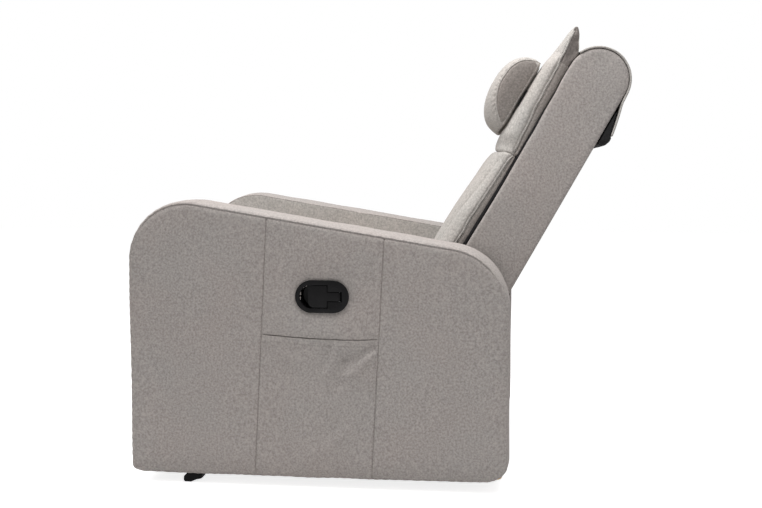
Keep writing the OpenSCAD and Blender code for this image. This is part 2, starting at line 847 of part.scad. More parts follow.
module pad() {
    intersection() {
        across(-footrest_half, footrest_half)
            polygon(soft_box([footrest_face, footrest_bottom], [board_front, footrest_top],
                [18, 18, 2, 2]));
        translate([0, board_front, 0]) rotate([90, 0, 0])
            linear_extrude(board_front - footrest_face)
            polygon(soft_box([-footrest_half, footrest_bottom],
                [footrest_half, footrest_top], [14, 14, 14, 14]));
    }
}

// ---- Back ----

shell_front = -3;
shell_centre = [shell_front + shell_top_radius, shell_rise];

// Outline of the back's shell, set in by a distance
function shell_outline(inset) = concat(
    arc(shell_centre, shell_top_radius - inset, 180, 0, 24),
    [[shell_front + 2 * shell_top_radius + shell_flare - inset, 14 - shell_drop],
     [shell_front + 2 * shell_top_radius + shell_flare - 14, inset - shell_drop],
     [shell_front + 14, inset - shell_drop],
     [shell_front + inset, 14 - shell_drop]]);

module side_of_back() {
    in_back() across(back_half_width - shell_cover, back_half_width)
        polygon(shell_outline(0));
}

module wrap() {
    half = back_half_width - shell_cover;
    in_back() difference() {
        across(-half, half) polygon(shell_outline(0));
        across(-half - cut, half + cut) polygon(shell_outline(shell_cover));
    }
}

frame_outer = back_half_width - shell_cover;
frame_inner = frame_outer - back_board;

module frame_of_back() {
    rail = 40;
    in_back() {
        for (s = [0, 1]) mirror([s, 0, 0]) across(frame_inner, frame_outer)
            polygon(shell_outline(shell_cover));
        across(-frame_inner, frame_inner) {
            translate([shell_centre[0] - rail / 2, shell_rise]) square([rail, rail]);
            translate([shell_centre[0], cushion_seam]) square([rail, back_board]);
            translate([shell_centre[0] - rail / 2, shell_cover - shell_drop])
                square([rail, back_board]);
        }
    }
}

// Flat straps across the front of the back's frame
module webbing() {
    strap = 50;
    pitch = 100;
    in_back() for (u = [-lumbar_drop:pitch:shell_rise - strap])
        translate([-frame_inner, shell_front + shell_cover, u])
            cube([2 * frame_inner, 2.5, strap]);
}

// A steel plate on the shell's side, with the recline bore
module back_bracket() {
    width = 44;
    reach = 150;
    top = [recline_depth, recline_rise + reach];
    in_back() difference() {
        union() {
            across(outer_link_x, outer_link_x + steel)
                bar_2d([recline_depth, recline_rise], top, width);
            for (place = [top, [recline_depth, recline_rise + reach / 2]])
                bar_x(back_half_width, outer_link_x + cut, place, 8);
        }
        bar_x(outer_link_x - cut, outer_link_x + steel + cut,
            [recline_depth, recline_rise], recline_radius + running_clearance);
    }
}

lumbar_face = shell_front - lumbar_thickness;
upper_face = shell_front - upper_thickness;

module cushion_lumbar() {
    half = back_half_width;
    in_back() intersection() {
        across(-half, half) polygon(soft_box([lumbar_face, -lumbar_drop],
            [shell_front, cushion_seam], [24, 30, 2, 2]));
        translate([0, shell_front, 0]) rotate([90, 0, 0]) linear_extrude(lumbar_thickness)
            polygon(soft_box([-half, -lumbar_drop], [half, cushion_seam],
                [10, 10, 10, 10]));
    }
}

flap_gap = 0.6;
weight_gap = 1;
flap_inner = shell_top_radius + flap_gap;
flap_outer = flap_inner + flap_thickness;
flap_start = 155;        // where the flap leaves the cushion, in degrees round the top

// The upper cushion rises to a thin tip, and its rear face curves down to the flap
module cushion_upper() {
    tip = [-37, tip_rise];
    web_foot = shell_centre + (flap_outer + 8) * [cos(flap_start), sin(flap_start)];
    in_back() intersection() {
        across(-back_half_width, back_half_width) polygon(concat(
            [[shell_front, cushion_seam + soft_gap], [upper_face + 16, cushion_seam + soft_gap],
             [upper_face, cushion_seam + 36], [upper_face, shell_rise - 30],
             [upper_face + 7, shell_rise + 14],
             [tip[0] - 10, tip[1] - 24], [tip[0] - 4, tip[1] - 3], tip,
             [tip[0] + 9, tip[1] - 1], [tip[0] + 19, tip[1] - 22],
             [tip[0] + 28, web_foot[1] + 6], web_foot],
            arc(shell_centre, flap_inner, flap_start, 180, 6)));
        translate([0, shell_centre[0], 0]) rotate([90, 0, 0])
            linear_extrude(shell_centre[0] + lumbar_thickness + pillow_depth)
            polygon(soft_box([-back_half_width, cushion_seam], [back_half_width, tip_rise],
                [8, 18, 18, 8]));
    }
}

flap_hang = [[74, -17], [81, -40], [89, -72], [92, -88]];     // from the round top's centre
weight_drop = 106;
weight_place = shell_centre + [shell_top_radius + weight_radius + weight_gap
    + shell_flare * weight_drop / (shell_rise + shell_drop - 14), -weight_drop];

module flap() {
    in_back() across(-back_half_width, back_half_width) polygon(concat(
        arc(shell_centre, flap_outer, flap_start, 0, 18),
        [for (p = flap_hang) shell_centre + p],
        [for (i = [len(flap_hang) - 1:-1:0])
            shell_centre + flap_hang[i] - [flap_thickness, 1]],
        arc(shell_centre, flap_inner, 0, flap_start, 18)));
}

// A weighted roll in a black casing at the flap's hem
module weight() {
    in_back() across(-back_half_width + 4, back_half_width - 4) {
        translate(weight_place) circle(r = weight_radius, $fn = round_fn);
        polygon([weight_place + [weight_radius / 2, 0], shell_centre + flap_hang[3],
            shell_centre + flap_hang[3] - [flap_thickness, 1],
            weight_place - [weight_radius / 2, 0]]);
    }
}

// ---- Head pillow ----

strap_thickness = 1.7;
soft_gap = 0.3;             // between soft pieces that move past each other
pillow_back = upper_face - soft_gap - strap_thickness;
pillow_centre = [pillow_back, pillow_rise];

// Half-round section of the pillow at a place across the chair and a scale of its full size
function pillow_ring(x, size) = [for (i = [0:16]) let (a = 90 + 180 * i / 16)
    [x, pillow_back + size * pillow_depth * cos(a),
     pillow_rise + size * pillow_height / 2 * sin(a)]];

// A solid through rings of the same number of points
module loft(rings) {
    sides = len(rings[0]);
    last = len(rings) - 1;
    polyhedron([for (ring = rings) for (p = ring) p],
        concat(
            [[for (k = [sides - 1:-1:0]) k]],
            [[for (k = [0:sides - 1]) last * sides + k]],
            [for (i = [0:last - 1]) for (k = [0:sides - 1])
                [i * sides + k, i * sides + (k + 1) % sides,
                 (i + 1) * sides + (k + 1) % sides, (i + 1) * sides + k]]));
}

// Full in the middle, drawn in towards its two ends
module pillow() {
    half = pillow_length / 2;
    sizes = [[0, 0.72], [12, 0.84], [60, 1]];       // distance in from the end, scale
    in_back() loft(concat(
        [for (s = sizes) pillow_ring(s[0] - half, s[1])],
        [for (i = [2:-1:0]) pillow_ring(half - sizes[i][0], sizes[i][1])]));
}

module strap() {
    half = pillow_length / 2 - 20;
    in_back() translate([-half, pillow_back, pillow_rise - 20])
        cube([2 * half, strap_thickness, 40]);
}

// ---- Nodes ----

color(cloth) front_panel();  // arm_left_front_panel
color(cloth) left_middle_panel();  // arm_left_middle_panel
color(cloth) rear_panel();  // arm_left_rear_panel
color(pale_cloth) boxing();  // arm_left_boxing
color(cloth) inner_panel(true);  // arm_left_inner_panel
color(plywood) arm_frame(true);  // arm_left_frame
color(cloth) right_side() front_panel();  // arm_right_front_panel
color(cloth) right_side() middle_panel();  // arm_right_middle_panel
color(cloth) right_side() rear_panel();  // arm_right_rear_panel
color(pale_cloth) right_side() boxing();  // arm_right_boxing
color(cloth) right_side() inner_panel(false);  // arm_right_inner_panel
color(plywood) right_side() arm_frame(false);  // arm_right_frame
color(cloth) pocket();  // side_pocket
color(black_plastic) bezel();  // handle_bezel
color(black_plastic) paddle();  // handle_paddle
color(bright_steel) pin();  // paddle_pin
color(bright_steel) pin_spring();  // paddle_spring
color(black_plastic) cable();  // release_cable
color(black_steel) cross_rail_at(front_foot + 5);  // front_cross_rail
color(black_steel) cross_rail_at(rear_foot + 5);  // rear_cross_rail
color(black_plastic) for (s = [-1, 1])  // front_feet
    foot_block(front_foot, arm_underside, s * (arm_outer - foot_inset));
color(black_plastic) for (s = [-1, 1])  // rear_feet
    foot_block(rear_foot, cross_rail_height, s * rear_foot_offset);
color(black_steel) left_base_plate();  // base_plate_left
color(black_steel) right_side() base_plate();  // base_plate_right
color(bright_steel) bolts();  // base_bolts
color(bright_steel) pawl();  // latch_pawl
color(black_steel) left_seat_plate();  // seat_plate_left
color(black_steel) right_side() seat_plate();  // seat_plate_right
color(bright_steel) guide_studs();  // seat_guide_studs
color(plywood) seat_rail(front_rail);  // seat_front_rail
color(plywood) seat_rail(rear_rail);  // seat_rear_rail
color(bright_steel) springs();  // seat_springs
color(pale_cloth) cushion_seat();  // seat_cushion
color(black_steel) tube();  // drive_tube
color(black_steel) link_a1();  // link_a1_left
color(black_steel) right_side() link_a1();  // link_a1_right
color(black_steel) link_a2();  // link_a2_left
color(black_steel) right_side() link_a2();  // link_a2_right
color(black_steel) link_b1();  // link_b1_left
color(black_steel) right_side() link_b1();  // link_b1_right
color(black_steel) link_b2();  // link_b2_left
color(black_steel) right_side() link_b2();  // link_b2_right
color(black_steel) footrest_bracket();  // footrest_bracket_left
color(black_steel) right_side() footrest_bracket();  // footrest_bracket_right
color(plywood) board();  // footrest_board
color(cloth) pad();  // footrest_pad
color(plywood) frame_of_back();  // back_frame
color(cloth) side_of_back();  // back_side_left
color(cloth) right_side() side_of_back();  // back_side_right
color(cloth) wrap();  // back_wrap
color(black_plastic) webbing();  // back_webbing
color(black_steel) back_bracket();  // back_bracket_left
color(black_steel) right_side() back_bracket();  // back_bracket_right
color(pale_cloth) cushion_lumbar();  // back_cushion_lumbar
color(pale_cloth) cushion_upper();  // back_cushion_upper
color(pale_cloth) flap();  // head_flap
color(black_plastic) weight();  // flap_weight
color(pale_cloth) pillow();  // head_pillow
color(black_plastic) strap();  // pillow_strap
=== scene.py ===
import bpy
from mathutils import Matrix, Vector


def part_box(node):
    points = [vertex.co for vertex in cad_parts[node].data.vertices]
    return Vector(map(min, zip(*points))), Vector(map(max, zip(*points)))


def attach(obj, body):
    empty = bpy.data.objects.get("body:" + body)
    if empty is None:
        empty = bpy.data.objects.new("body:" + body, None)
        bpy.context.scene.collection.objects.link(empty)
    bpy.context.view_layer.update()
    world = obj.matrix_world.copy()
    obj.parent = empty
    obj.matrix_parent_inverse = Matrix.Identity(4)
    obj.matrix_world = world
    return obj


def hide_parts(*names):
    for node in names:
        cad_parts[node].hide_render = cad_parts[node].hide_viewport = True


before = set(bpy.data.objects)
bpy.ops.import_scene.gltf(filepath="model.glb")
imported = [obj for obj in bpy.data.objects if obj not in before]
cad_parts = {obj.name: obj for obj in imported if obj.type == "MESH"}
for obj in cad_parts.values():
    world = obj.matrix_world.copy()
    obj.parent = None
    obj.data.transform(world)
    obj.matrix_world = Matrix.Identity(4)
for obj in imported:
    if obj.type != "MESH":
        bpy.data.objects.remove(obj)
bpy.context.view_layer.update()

import math
import random

import bmesh
import bpy
import numpy as np
from mathutils import Vector
from mathutils.bvhtree import BVHTree

# Lengths are in millimetres here; build() turns them into metres.
MM = 0.001


def limits(node):
    """A CAD node's lowest and highest corners in millimetres"""
    low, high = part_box(node)
    return low / MM, high / MM


# ---- Driving dimensions ----
ARM_LOW, ARM_HIGH = limits("arm_left_boxing")
ARM_INNER, ARM_FRONT, ARM_BOTTOM = ARM_LOW
ARM_OUTER, ARM_REAR, ARM_TOP = ARM_HIGH
ARM_FRONT_RADIUS = 130
ARM_REAR_RADIUS = 140
ARM_REAR_TOP = 532
ARM_LOW_RADIUS = 22
ARM_REAR_LOW_RADIUS = 48        # the padding rounds the corner by the floor more than its frame does
BAND = 7                        # the boxing shows this far on the arm's outer side
INNER_BAND = 2.5                # and this far on its inner side
UNDER_ROLL = 12                 # how far the outer side turns in above the arm's underside
INNER_SEAMS = (-361, -188, 2)   # faint upright seams on the inner sides
SEAM_LEAN = math.tan(math.radians(3))
SEAM_MIDDLE = 324
FRONT_SEAM = ARM_FRONT + 296
REAR_SEAM = ARM_FRONT + 552
MOUTH = [(-250, 337.5), (-229, 336.2), (-179, 332.6), (-140, 330.2), (-64, 327.8), (-20, 328.6), (20, 331)]
MOUTH_SHARE = 0.52              # the share of the middle panel's height that keeps to the mouth
HEM = 13
POCKET_THICK = 2.2
POCKET_ROOM = 9.5               # how far the middle panel lies inward behind the pocket
CLOTH_THICK = 5
# Drape folds of the pocket: start and end in (y, z), half width and height
FOLDS = [((4, 316), (-60, 284), 8, -4.5), ((-60, 284), (-86, 215), 12, -3.6),
         ((2, 296), (-66, 250), 9, 4.0), ((-92, 322), (-108, 268), 7, -3.0),
         ((-72, 312), (-92, 258), 8, 2.6), ((4, 255), (-60, 160), 14, 2.6),
         ((-215, 322), (-160, 280), 12, 1.6), ((-20, 215), (-100, 120), 16, -2.8),
         ((-60, 130), (-150, 60), 18, 2.0)]

PLATE_LOW, PLATE_HIGH = limits("handle_bezel")
PLATE_Y = ARM_FRONT + 430
PLATE_Z = (PLATE_LOW.z + PLATE_HIGH.z) / 2
PLATE_RUN = 23                  # half the straight part of the oval plate
PLATE_RADIUS = 35
DISH, DISH_WIDTH = 6.5, 22      # the cloth sinks this far at the plate, and over about this width round it

LEAN = math.radians(31)
BACK_Y, BACK_Z = 184, 527       # origin of the back's own directions
SHELL_FRONT = -3
SHELL_RADIUS = 67
SHELL_V = SHELL_FRONT + SHELL_RADIUS
SHELL_U = 458
SHELL_LOW = -260
SHELL_FLARE = 22
BACK_HALF = limits("back_side_left")[1].x
SIDE_INNER = limits("back_side_left")[0].x
LUMBAR_LOW = -130
SPLIT = 212                     # where the lumbar cushion meets the upper one
TIP_U = 534
FLAP_START = 155                # degrees round the shell's top
# How far behind its straight line the shell's front edge lies, as (u, distance)
BOW = [(119, 11), (164, 10), (188, 9.1), (230, 7.9), (268, 6.8), (289, 7), (316, 5.5), (341, 4), (388, 3),
       (420, 0)]
# Middle line of the flap where it hangs free, from the round top's centre, as (v, u)
FLAP_HANG = [(71.6, -17), (78.5, -40), (86.5, -72), (89.6, -88)]
# Section of the black weighted bag behind the flap, as (v, u)
BAG = [(137.4, 343), (138, 339.6), (143, 339), (149, 342), (154.3, 348), (157, 356), (156.6, 363), (151, 370),
       (147, 384), (142.6, 399), (139, 412), (136.4, 421), (134.6, 416), (134.8, 400), (136, 370)]

# Places of the cushions' front at mid width, front welt and rear, as (u, v)
LUMBAR_FRONT = [(-140, -55), (-90, -61.5), (0, -62.5), (60, -61.5), (107, -59), (140, -56.5), (172, -55.5),
                (190, -54), (205, -52)]
UPPER_FRONT = [(195, -50), (212, -53), (240, -55.5), (300, -57), (400, -57), (440, -54), (468, -50),
               (502, -44), (520, -42), (534, -40)]
WELT = [(-140, -10), (17, -10), (60, -12), (110, -9.5), (150, -7.5), (212, -5.5), (257, -8.5), (285, -11),
        (332, -16), (380, -19), (404, -20.5), (448, -24), (473, -27), (514, -34), (534, -38)]
REAR = [(-140, -3.3), (458, -3.4), (470, -2.3), (480, -0.2), (486, 2), (489, -3), (492, -7), (498, -8.5),
        (511, -17.5), (522, -22.5), (530, -26.5), (534, -31)]
WELT_WIDTH = 5.5                # from the seam forward to its second row of stitches
SEAM_RISE = 16                  # how much higher the seam between the cushions is at its ends
GUSSET_LOW = 449                # the gusset starts above the upper cushion's boxing strip here
# Quilted channels of the lumbar cushion, as (distance from the middle, u)
CHANNEL = [(212, 196), (208, 150), (202, 111), (195, 79), (187, 58), (176, 0), (166, -60), (158, -112)]

PILLOW_HALF = 200
PILLOW_BACK = -60.5
STRAP_LOW, STRAP_HIGH = 323, 363
PILLOW_WRAP = 5                 # the pillow's ends lie this much nearer the cushion

PRESSURE, FRAMES = 4, 20        # of the cloth simulation

LENS, SENSOR_WIDTH = 49.39, 36
CAMERA_PLACE = (2.5612, 0.2947, 0.6931)
CAMERA_WAY = (-0.98885, -0.12484, -0.08117)
WORLD_LIGHT = 0.24
FLOOR_GLOW = 0.81
FLOOR_SIZE = 9                  # metres from the middle to each edge


def back(x, v, u):
    """Point of the shared frame at a place in the back's own directions: v rearward, u up the back"""
    y = BACK_Y + u * math.sin(LEAN) + v * math.cos(LEAN)
    z = BACK_Z + u * math.cos(LEAN) - v * math.sin(LEAN)
    return np.stack(np.broadcast_arrays(x, y, z), axis=-1)


def from_back(points):
    """The x, v and u of points of the shared frame"""
    y = points[:, 1] - BACK_Y
    z = points[:, 2] - BACK_Z
    return points[:, 0], y * math.cos(LEAN) - z * math.sin(LEAN), y * math.sin(LEAN) + z * math.cos(LEAN)


# ---- Materials ----
def adjust(made, **settings):
    """Sets a node's inputs (to values or other nodes' outputs) and properties by name"""
    for key, value in settings.items():
        label = key.replace("_", " ")
        if label not in made.inputs:
            setattr(made, key, value)
        elif isinstance(value, bpy.types.NodeSocket):
            made.id_data.links.new(value, made.inputs[label])
        else:
            made.inputs[label].default_value = value
    return made


def node(tree, kind, **settings):
    return adjust(tree.nodes.new("ShaderNode" + kind), **settings)


def new_material(name):
    """A material with its shader and the place on the object"""
    material = bpy.data.materials.new(name)
    material.use_nodes = True
    tree = material.node_tree
    tree.nodes.clear()
    shader = node(tree, "BsdfPrincipled")
    node(tree, "OutputMaterial", Surface=shader.outputs[0])
    return material, shader, node(tree, "TexCoord").outputs["Object"]


def linear(colour):
    """Linear values of an sRGB colour given from 0 to 255"""
    parts = [c / 255 for c in colour]
    return [c / 12.92 if c <= 0.04045 else ((c + 0.055) / 1.055) ** 2.4 for c in parts]


def shade(colour, factor):
    return [min(1, c * factor) for c in colour]


def noise(place, scale, detail, roughness):
    made = node(place.id_data, "TexNoise", Vector=place, Scale=scale, Detail=detail, Roughness=roughness)
    return made.outputs["Fac"]


def streaked(place, scale):
    """Places scaled along each axis, so that noise on them runs along the piece"""
    return node(place.id_data, "Mapping", Vector=place, Scale=scale).outputs[0]


def fed(made, pairs):
    """Feeds numbers or outputs to a node's inputs, as (value, input number)"""
    for value, number in pairs:
        if isinstance(value, float):
            made.inputs[number].default_value = value
        else:
            made.id_data.links.new(value, made.inputs[number])
    return made


def maths(operation, first, second):
    made = node(first.id_data, "Math", operation=operation)
    return fed(made, [(first, 0), (second, 1)]).outputs[0]


def blend(factor, first, second, mode):
    """Two colours blended"""
    made = node(first.id_data, "Mix", data_type="RGBA", blend_type=mode)
    return fed(made, [(factor, 0), (first, 6), (second, 7)]).outputs[2]


def ramp(value, stops):
    """Colour ramp through (position, linear colour) stops"""
    made = node(value.id_data, "ValToRGB", Fac=value)
    elements = made.color_ramp.elements
    while len(elements) < len(stops):
        elements.new(0.5)
    for element, (position, colour) in zip(elements, stops):
        element.position = position
        element.color = (*colour, 1)
    return made.outputs[0]


def weave(place, pitch):
    """Height of threads crossing each other, in all three directions, so that it needs no UVs"""
    bands = [node(place.id_data, "TexWave", bands_direction=axis, Vector=place, Distortion=2.5, Detail=2.0,
                  Scale=math.pi / (10 * pitch), Detail_Scale=1.5).outputs["Fac"] for axis in "XYZ"]
    total = maths("ADD", maths("ADD", bands[0], bands[1]), bands[2])
    return maths("MULTIPLY", total, 1 / 3)


def surface(shader, colour, grain, roughness, height, strength, depth):
    """Links a shader's colour, its roughness from low to high with the grain, and its bumps"""
    tree = shader.id_data
    spread = node(tree, "MapRange", Value=grain, To_Min=roughness[0], To_Max=roughness[1])
    bump = node(tree, "Bump", Height=height, Strength=strength, Distance=depth)
    adjust(shader, Base_Color=colour, Roughness=spread.outputs[0], Normal=bump.outputs[0])


def cloth(name, colour, contrast=0.4, pitch=0.0021, sheen=0.12):
    """Heathered woven upholstery cloth"""
    material, shader, place = new_material(name)
    base = linear(colour)
    fleck = noise(place, 230, 3, 0.62)
    light, dark = shade(base, 1 + contrast), shade(base, 1 - contrast)
    flecked = ramp(fleck, [(0.3, dark), (0.5, base), (0.7, light)])
    cool = [c * part for c, part in zip(base, (0.975, 1.005, 1.01))]
    warm = [c * part for c, part in zip(base, (1.03, 0.985, 0.97))]
    patched = ramp(noise(place, 7, 3, 0.55), [(0.35, cool), (0.65, warm)])
    threads = ramp(noise(place, 900, 2, 0.5), [(0.3, [0.9] * 3), (0.7, [1.0] * 3)])
    mixed = blend(0.7, blend(0.35, flecked, patched, "MIX"), threads, "MULTIPLY")
    height = maths("ADD", maths("MULTIPLY", weave(place, pitch), 0.6), fleck)
    surface(shader, mixed, fleck, (0.84, 0.97), height, 0.55, 0.0009)
    adjust(shader, Specular_IOR_Level=0.25, Sheen_Weight=sheen, Sheen_Roughness=0.45,
           Sheen_Tint=(*shade(base, 1.3), 1))
    return material


def plastic(name, colour, roughness, grain):
    """Moulded plastic with fine moulding texture"""
    material, shader, place = new_material(name)
    base = linear(colour)
    speck = noise(place, grain, 3, 0.6)
    tone = ramp(noise(place, 30, 2, 0.5), [(0.3, shade(base, 0.8)), (0.7, shade(base, 1.25))])
    surface(shader, tone, speck, (roughness * 0.8, roughness * 1.25), speck, 0.15, 0.0003)
    adjust(shader, Specular_IOR_Level=0.1)
    return material


def metal(name, colour, roughness, metallic):
    """Rolled or plated steel with faint handling marks"""
    material, shader, place = new_material(name)
    base = linear(colour)
    marks = noise(streaked(place, (1, 0.15, 1)), 180, 4, 0.65)
    tone = ramp(noise(place, 12, 3, 0.5), [(0.3, shade(base, 0.82)), (0.7, shade(base, 1.12))])
    surface(shader, tone, marks, (roughness * 0.75, roughness * 1.3), marks, 0.12, 0.0002)
    adjust(shader, Metallic=metallic)
    return material


def wood(name, colour):
    """Birch plywood with long grain"""
    material, shader, place = new_material(name)
    base = linear(colour)
    grain = noise(streaked(place, (6, 1, 6)), 22, 6, 0.65)
    tone = ramp(grain, [(0.3, shade(base, 0.7)), (0.5, base), (0.7, shade(base, 1.15))])
    surface(shader, tone, grain, (0.55, 0.8), grain, 0.25, 0.0005)
    return material


side_cloth = cloth("side_cloth", (171, 164, 160))
# A lighter copy of the same cloth: painted light on the cushions, pads, head flap and the arms' inner faces,
# which the lamps light from the front and above
top_cloth = cloth("top_cloth", (182, 177, 172))
# A darker copy of the same cloth: painted shade on the back cushions' boxing strips and the pillow's ends
painted_shade_boxing_cloth = cloth("painted_shade_boxing_cloth", (145, 138, 133))
# A still darker copy of the same cloth: painted shade on the upper cushion's gussets by its top corners
painted_shade_gusset_cloth = cloth("painted_shade_gusset_cloth", (124, 117, 113))
# Black cloth of the weighted bag, also used as painted shade in the gap behind the back cushions
black_cloth_and_gap_shade = cloth("black_cloth_and_gap_shade", (34, 33, 34), contrast=0.3, pitch=0.0012, sheen=0.05)
webbing_cloth = cloth("webbing_cloth", (38, 37, 38), contrast=0.25, pitch=0.0016, sheen=0.03)
thread_cloth = cloth("thread_cloth", (128, 121, 116), contrast=0.1, pitch=0.0006, sheen=0.1)
gloss_black = plastic("black_plastic", (20, 19, 20), 0.22, 900)
matte_black = plastic("matte_black", (15, 15, 15), 0.6, 500)
black_steel = metal("black_steel", (46, 46, 49), 0.45, 0.3)
zinc_steel = metal("zinc_steel", (176, 177, 180), 0.32, 0.95)
plywood = wood("plywood", (206, 176, 132))


# ---- Mesh helpers ----
def angles(start, end, count):
    """Evenly spaced angles in radians, from limits in degrees"""
    return np.radians(np.linspace(start, end, count))


def unit(vectors):
    return vectors / np.linalg.norm(vectors, axis=-1, keepdims=True)


def closed(line):
    """A line of points brought back to its start"""
    return np.vstack([line, line[:1]])


def along(table, at):
    """A table's value at a place, or at each of several places"""
    return np.interp(at, *zip(*table))


def grid_faces(grid, around=False):
    """Quads of a grid of points numbered row by row; around joins the last row to the first"""
    rows, columns = grid.shape[:2]
    faces = []
    for i in range(rows if around else rows - 1):
        for j in range(columns - 1):
            a, b = i * columns + j, (i + 1) % rows * columns + j
            faces.append((a, b, b + 1, a + 1))
    return faces


def ring_faces(rings, around=False):
    """Quads between closed rings of points; the last ring joins the first, or else both ends are capped"""
    count, sides = rings.shape[:2]
    faces = []
    for i in range(count if around else count - 1):
        a, b = i * sides, (i + 1) % count * sides
        for k in range(sides):
            after = (k + 1) % sides
            faces.append((a + k, a + after, b + after, b + k))
    if not around:
        last = (count - 1) * sides
        faces += [tuple(range(sides - 1, -1, -1)), tuple(range(last, last + sides))]
    return faces


def thickened(points, faces, offset):
    """A sheet of faces made solid: a copy set off by offset, joined round every free edge"""
    points = points.reshape(-1, 3)
    count = len(points)
    used = {(f[k], f[(k + 1) % len(f)]) for f in faces for k in range(len(f))}
    rim = [(b, a, a + count, b + count) for a, b in used if (b, a) not in used]
    under = [tuple(k + count for k in reversed(f)) for f in faces]
    return np.concatenate([points, points + offset]), faces + under + rim


def placed(name, data):
    """A new object in the scene"""
    made = bpy.data.objects.new(name, data)
    bpy.context.scene.collection.objects.link(made)
    return made


def clad(mesh, material):
    """Gives a mesh one material"""
    mesh.materials.clear()
    mesh.materials.append(material)


def build(name, points, faces, material, body, slot, replaced=None):
    """A smooth-shaded piece from points in millimetres, riding on a body"""
    mesh = bpy.data.meshes.new(name)
    mesh.from_pydata((np.asarray(points, float).reshape(-1, 3) * MM).tolist(), [], faces)
    edit = bmesh.new()
    edit.from_mesh(mesh)
    loose = [v for v in edit.verts if not v.link_faces]
    bmesh.ops.delete(edit, geom=loose, context="VERTS")
    bmesh.ops.recalc_face_normals(edit, faces=edit.faces)
    edit.to_mesh(mesh)
    edit.free()
    return finish_piece(placed(name, mesh), material, body, replaced)


def padded_build(name, points, faces, material, body, slot, replaced, fill=0.9):
    piece = build(name, points, faces, material, body, slot, replaced)
    return piece


def finish_piece(piece, material, body, replaced):
    clad(piece.data, material)
    piece.data.shade_smooth()
    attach(piece, body)
    if replaced:
        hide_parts(replaced)
    return piece


def waves(points, length, seed):
    """Smooth uneven surface: a fixed sum of eight waves of about the given length, from about -1 to 1.
    Points of two coordinates have 0 as their first."""
    draw = random.Random(seed)
    total = np.zeros(points.shape[:-1])
    for _ in range(8):
        direction = unit(np.array([draw.gauss(0, 1) for _ in range(3)]))
        pace = 2 * math.pi / (length * draw.uniform(0.7, 1.5))
        total += np.sin(points @ direction[3 - points.shape[-1]:] * pace + draw.uniform(0, 2 * math.pi))
    return total / math.sqrt(8)


def rolled(distance, radius, depth):
    """How far a surface falls away near its edge, as a rounded roll"""
    t = np.clip(distance / radius, 0, 1)
    return -depth * (1 - np.sqrt(np.maximum(0, 1 - (1 - t) ** 2)))


def step(value, low, high):
    """Smooth rise from 0 at low to 1 at high"""
    t = np.clip((value - low) / (high - low), 0, 1)
    return t * t * (3 - 2 * t)


def distance_to(points, line):
    """Distance of each point to a polyline, in two or three dimensions"""
    flat = points.reshape(-1, points.shape[-1])
    best = 1e9
    for a, b in zip(line[:-1], line[1:]):
        run = b - a
        t = np.clip(((flat - a) @ run) / max(run @ run, 1e-9), 0, 1)
        best = np.minimum(best, np.linalg.norm(flat - a - t[:, None] * run, axis=1))
    return best.reshape(points.shape[:-1])


def spaced(low, high, count, places):
    """Positions from low to high, closer together round each (position, width, weight)"""
    fine = np.linspace(low, high, 4000)
    density = np.ones_like(fine)
    for position, width, weight in places:
        density += weight * np.exp(-((fine - position) / width) ** 2)
    total = np.concatenate([[0], np.cumsum((density[1:] + density[:-1]) / 2)])
    return np.interp(np.linspace(0, total[-1], count), total, fine)


def scan(outline, positions, slopes, shares, knot=None):
    """Grid over a closed convex outline of (a, b) points: one line of points at each position of a,
    leaning by its slope, at the given shares of its run. A knot table gives the b of MOUTH_SHARE."""
    grid = []
    for a0, slope in zip(positions, slopes):
        gap = outline[:, 0] - a0 - slope * (outline[:, 1] - SEAM_MIDDLE)
        cross = np.nonzero(gap[:-1] * gap[1:] <= 0)[0]
        hits = [outline[k, 1] + (outline[k + 1, 1] - outline[k, 1]) * gap[k] / (gap[k] - gap[k + 1])
                for k in cross if gap[k] != gap[k + 1]]
        low, high = min(hits), max(hits)
        b = low + (high - low) * shares
        if knot:
            level = along(knot, a0)
            below = low + (level - low) * shares / MOUTH_SHARE
            above = level + (high - level) * (shares - MOUTH_SHARE) / (1 - MOUTH_SHARE)
            b = np.where(shares < MOUTH_SHARE, below, above)
        grid.append(np.stack([a0 + slope * (b - SEAM_MIDDLE), b], axis=-1))
    return np.array(grid)


def tube(path, radius, sides, taper):
    """Points and faces of a closed round tube along a path, thinner by a share at its ends"""
    path = np.asarray(path, float)
    tangents = unit(np.gradient(path, axis=0))
    side = np.cross(tangents[0], [0.31, 0.17, 0.93])
    turn = [2 * math.pi * k / sides for k in range(sides)]
    rings = []
    for i, (point, tangent) in enumerate(zip(path, tangents)):
        side = unit(side - tangent * (side @ tangent))
        other = np.cross(tangent, side)
        end = min(i, len(path) - 1 - i)
        r = radius * (1 - taper * max(0, 1 - end / 2))
        rings.append([point + r * (math.cos(a) * side + math.sin(a) * other) for a in turn])
    rings = np.array(rings)
    return rings.reshape(-1, 3), ring_faces(rings)


def joined(parts):
    """Several (points, faces) as one"""
    points, faces, count = [], [], 0
    for p, f in parts:
        points.append(p)
        faces += [tuple(k + count for k in face) for face in f]
        count += len(p)
    return np.vstack(points), faces


def resampled(path, pitch):
    """A path's points at an even pitch"""
    path = np.asarray(path, float)
    run = np.concatenate([[0], np.cumsum(np.linalg.norm(np.diff(path, axis=0), axis=1))])
    at = np.linspace(0, run[-1], max(2, round(run[-1] / pitch) + 1))
    return np.stack([np.interp(at, run, path[:, k]) for k in range(path.shape[1])], axis=-1)


def stitches(path):
    """A row of short threads along a path"""
    pitch, length, radius = 5.0, 3.4, 0.45
    points = resampled(path, pitch)
    parts = []
    for a, b in zip(points[:-1], points[1:]):
        way = unit(b - a)
        parts.append(tube([a, a + way * length / 2, a + way * length], radius, 5, 0.5))
    return joined(parts)


# ---- Arms ----
def under_lift(y):
    """How much higher the arm's underside lies toward its rear"""
    return 5 * step(y, -60, 420)


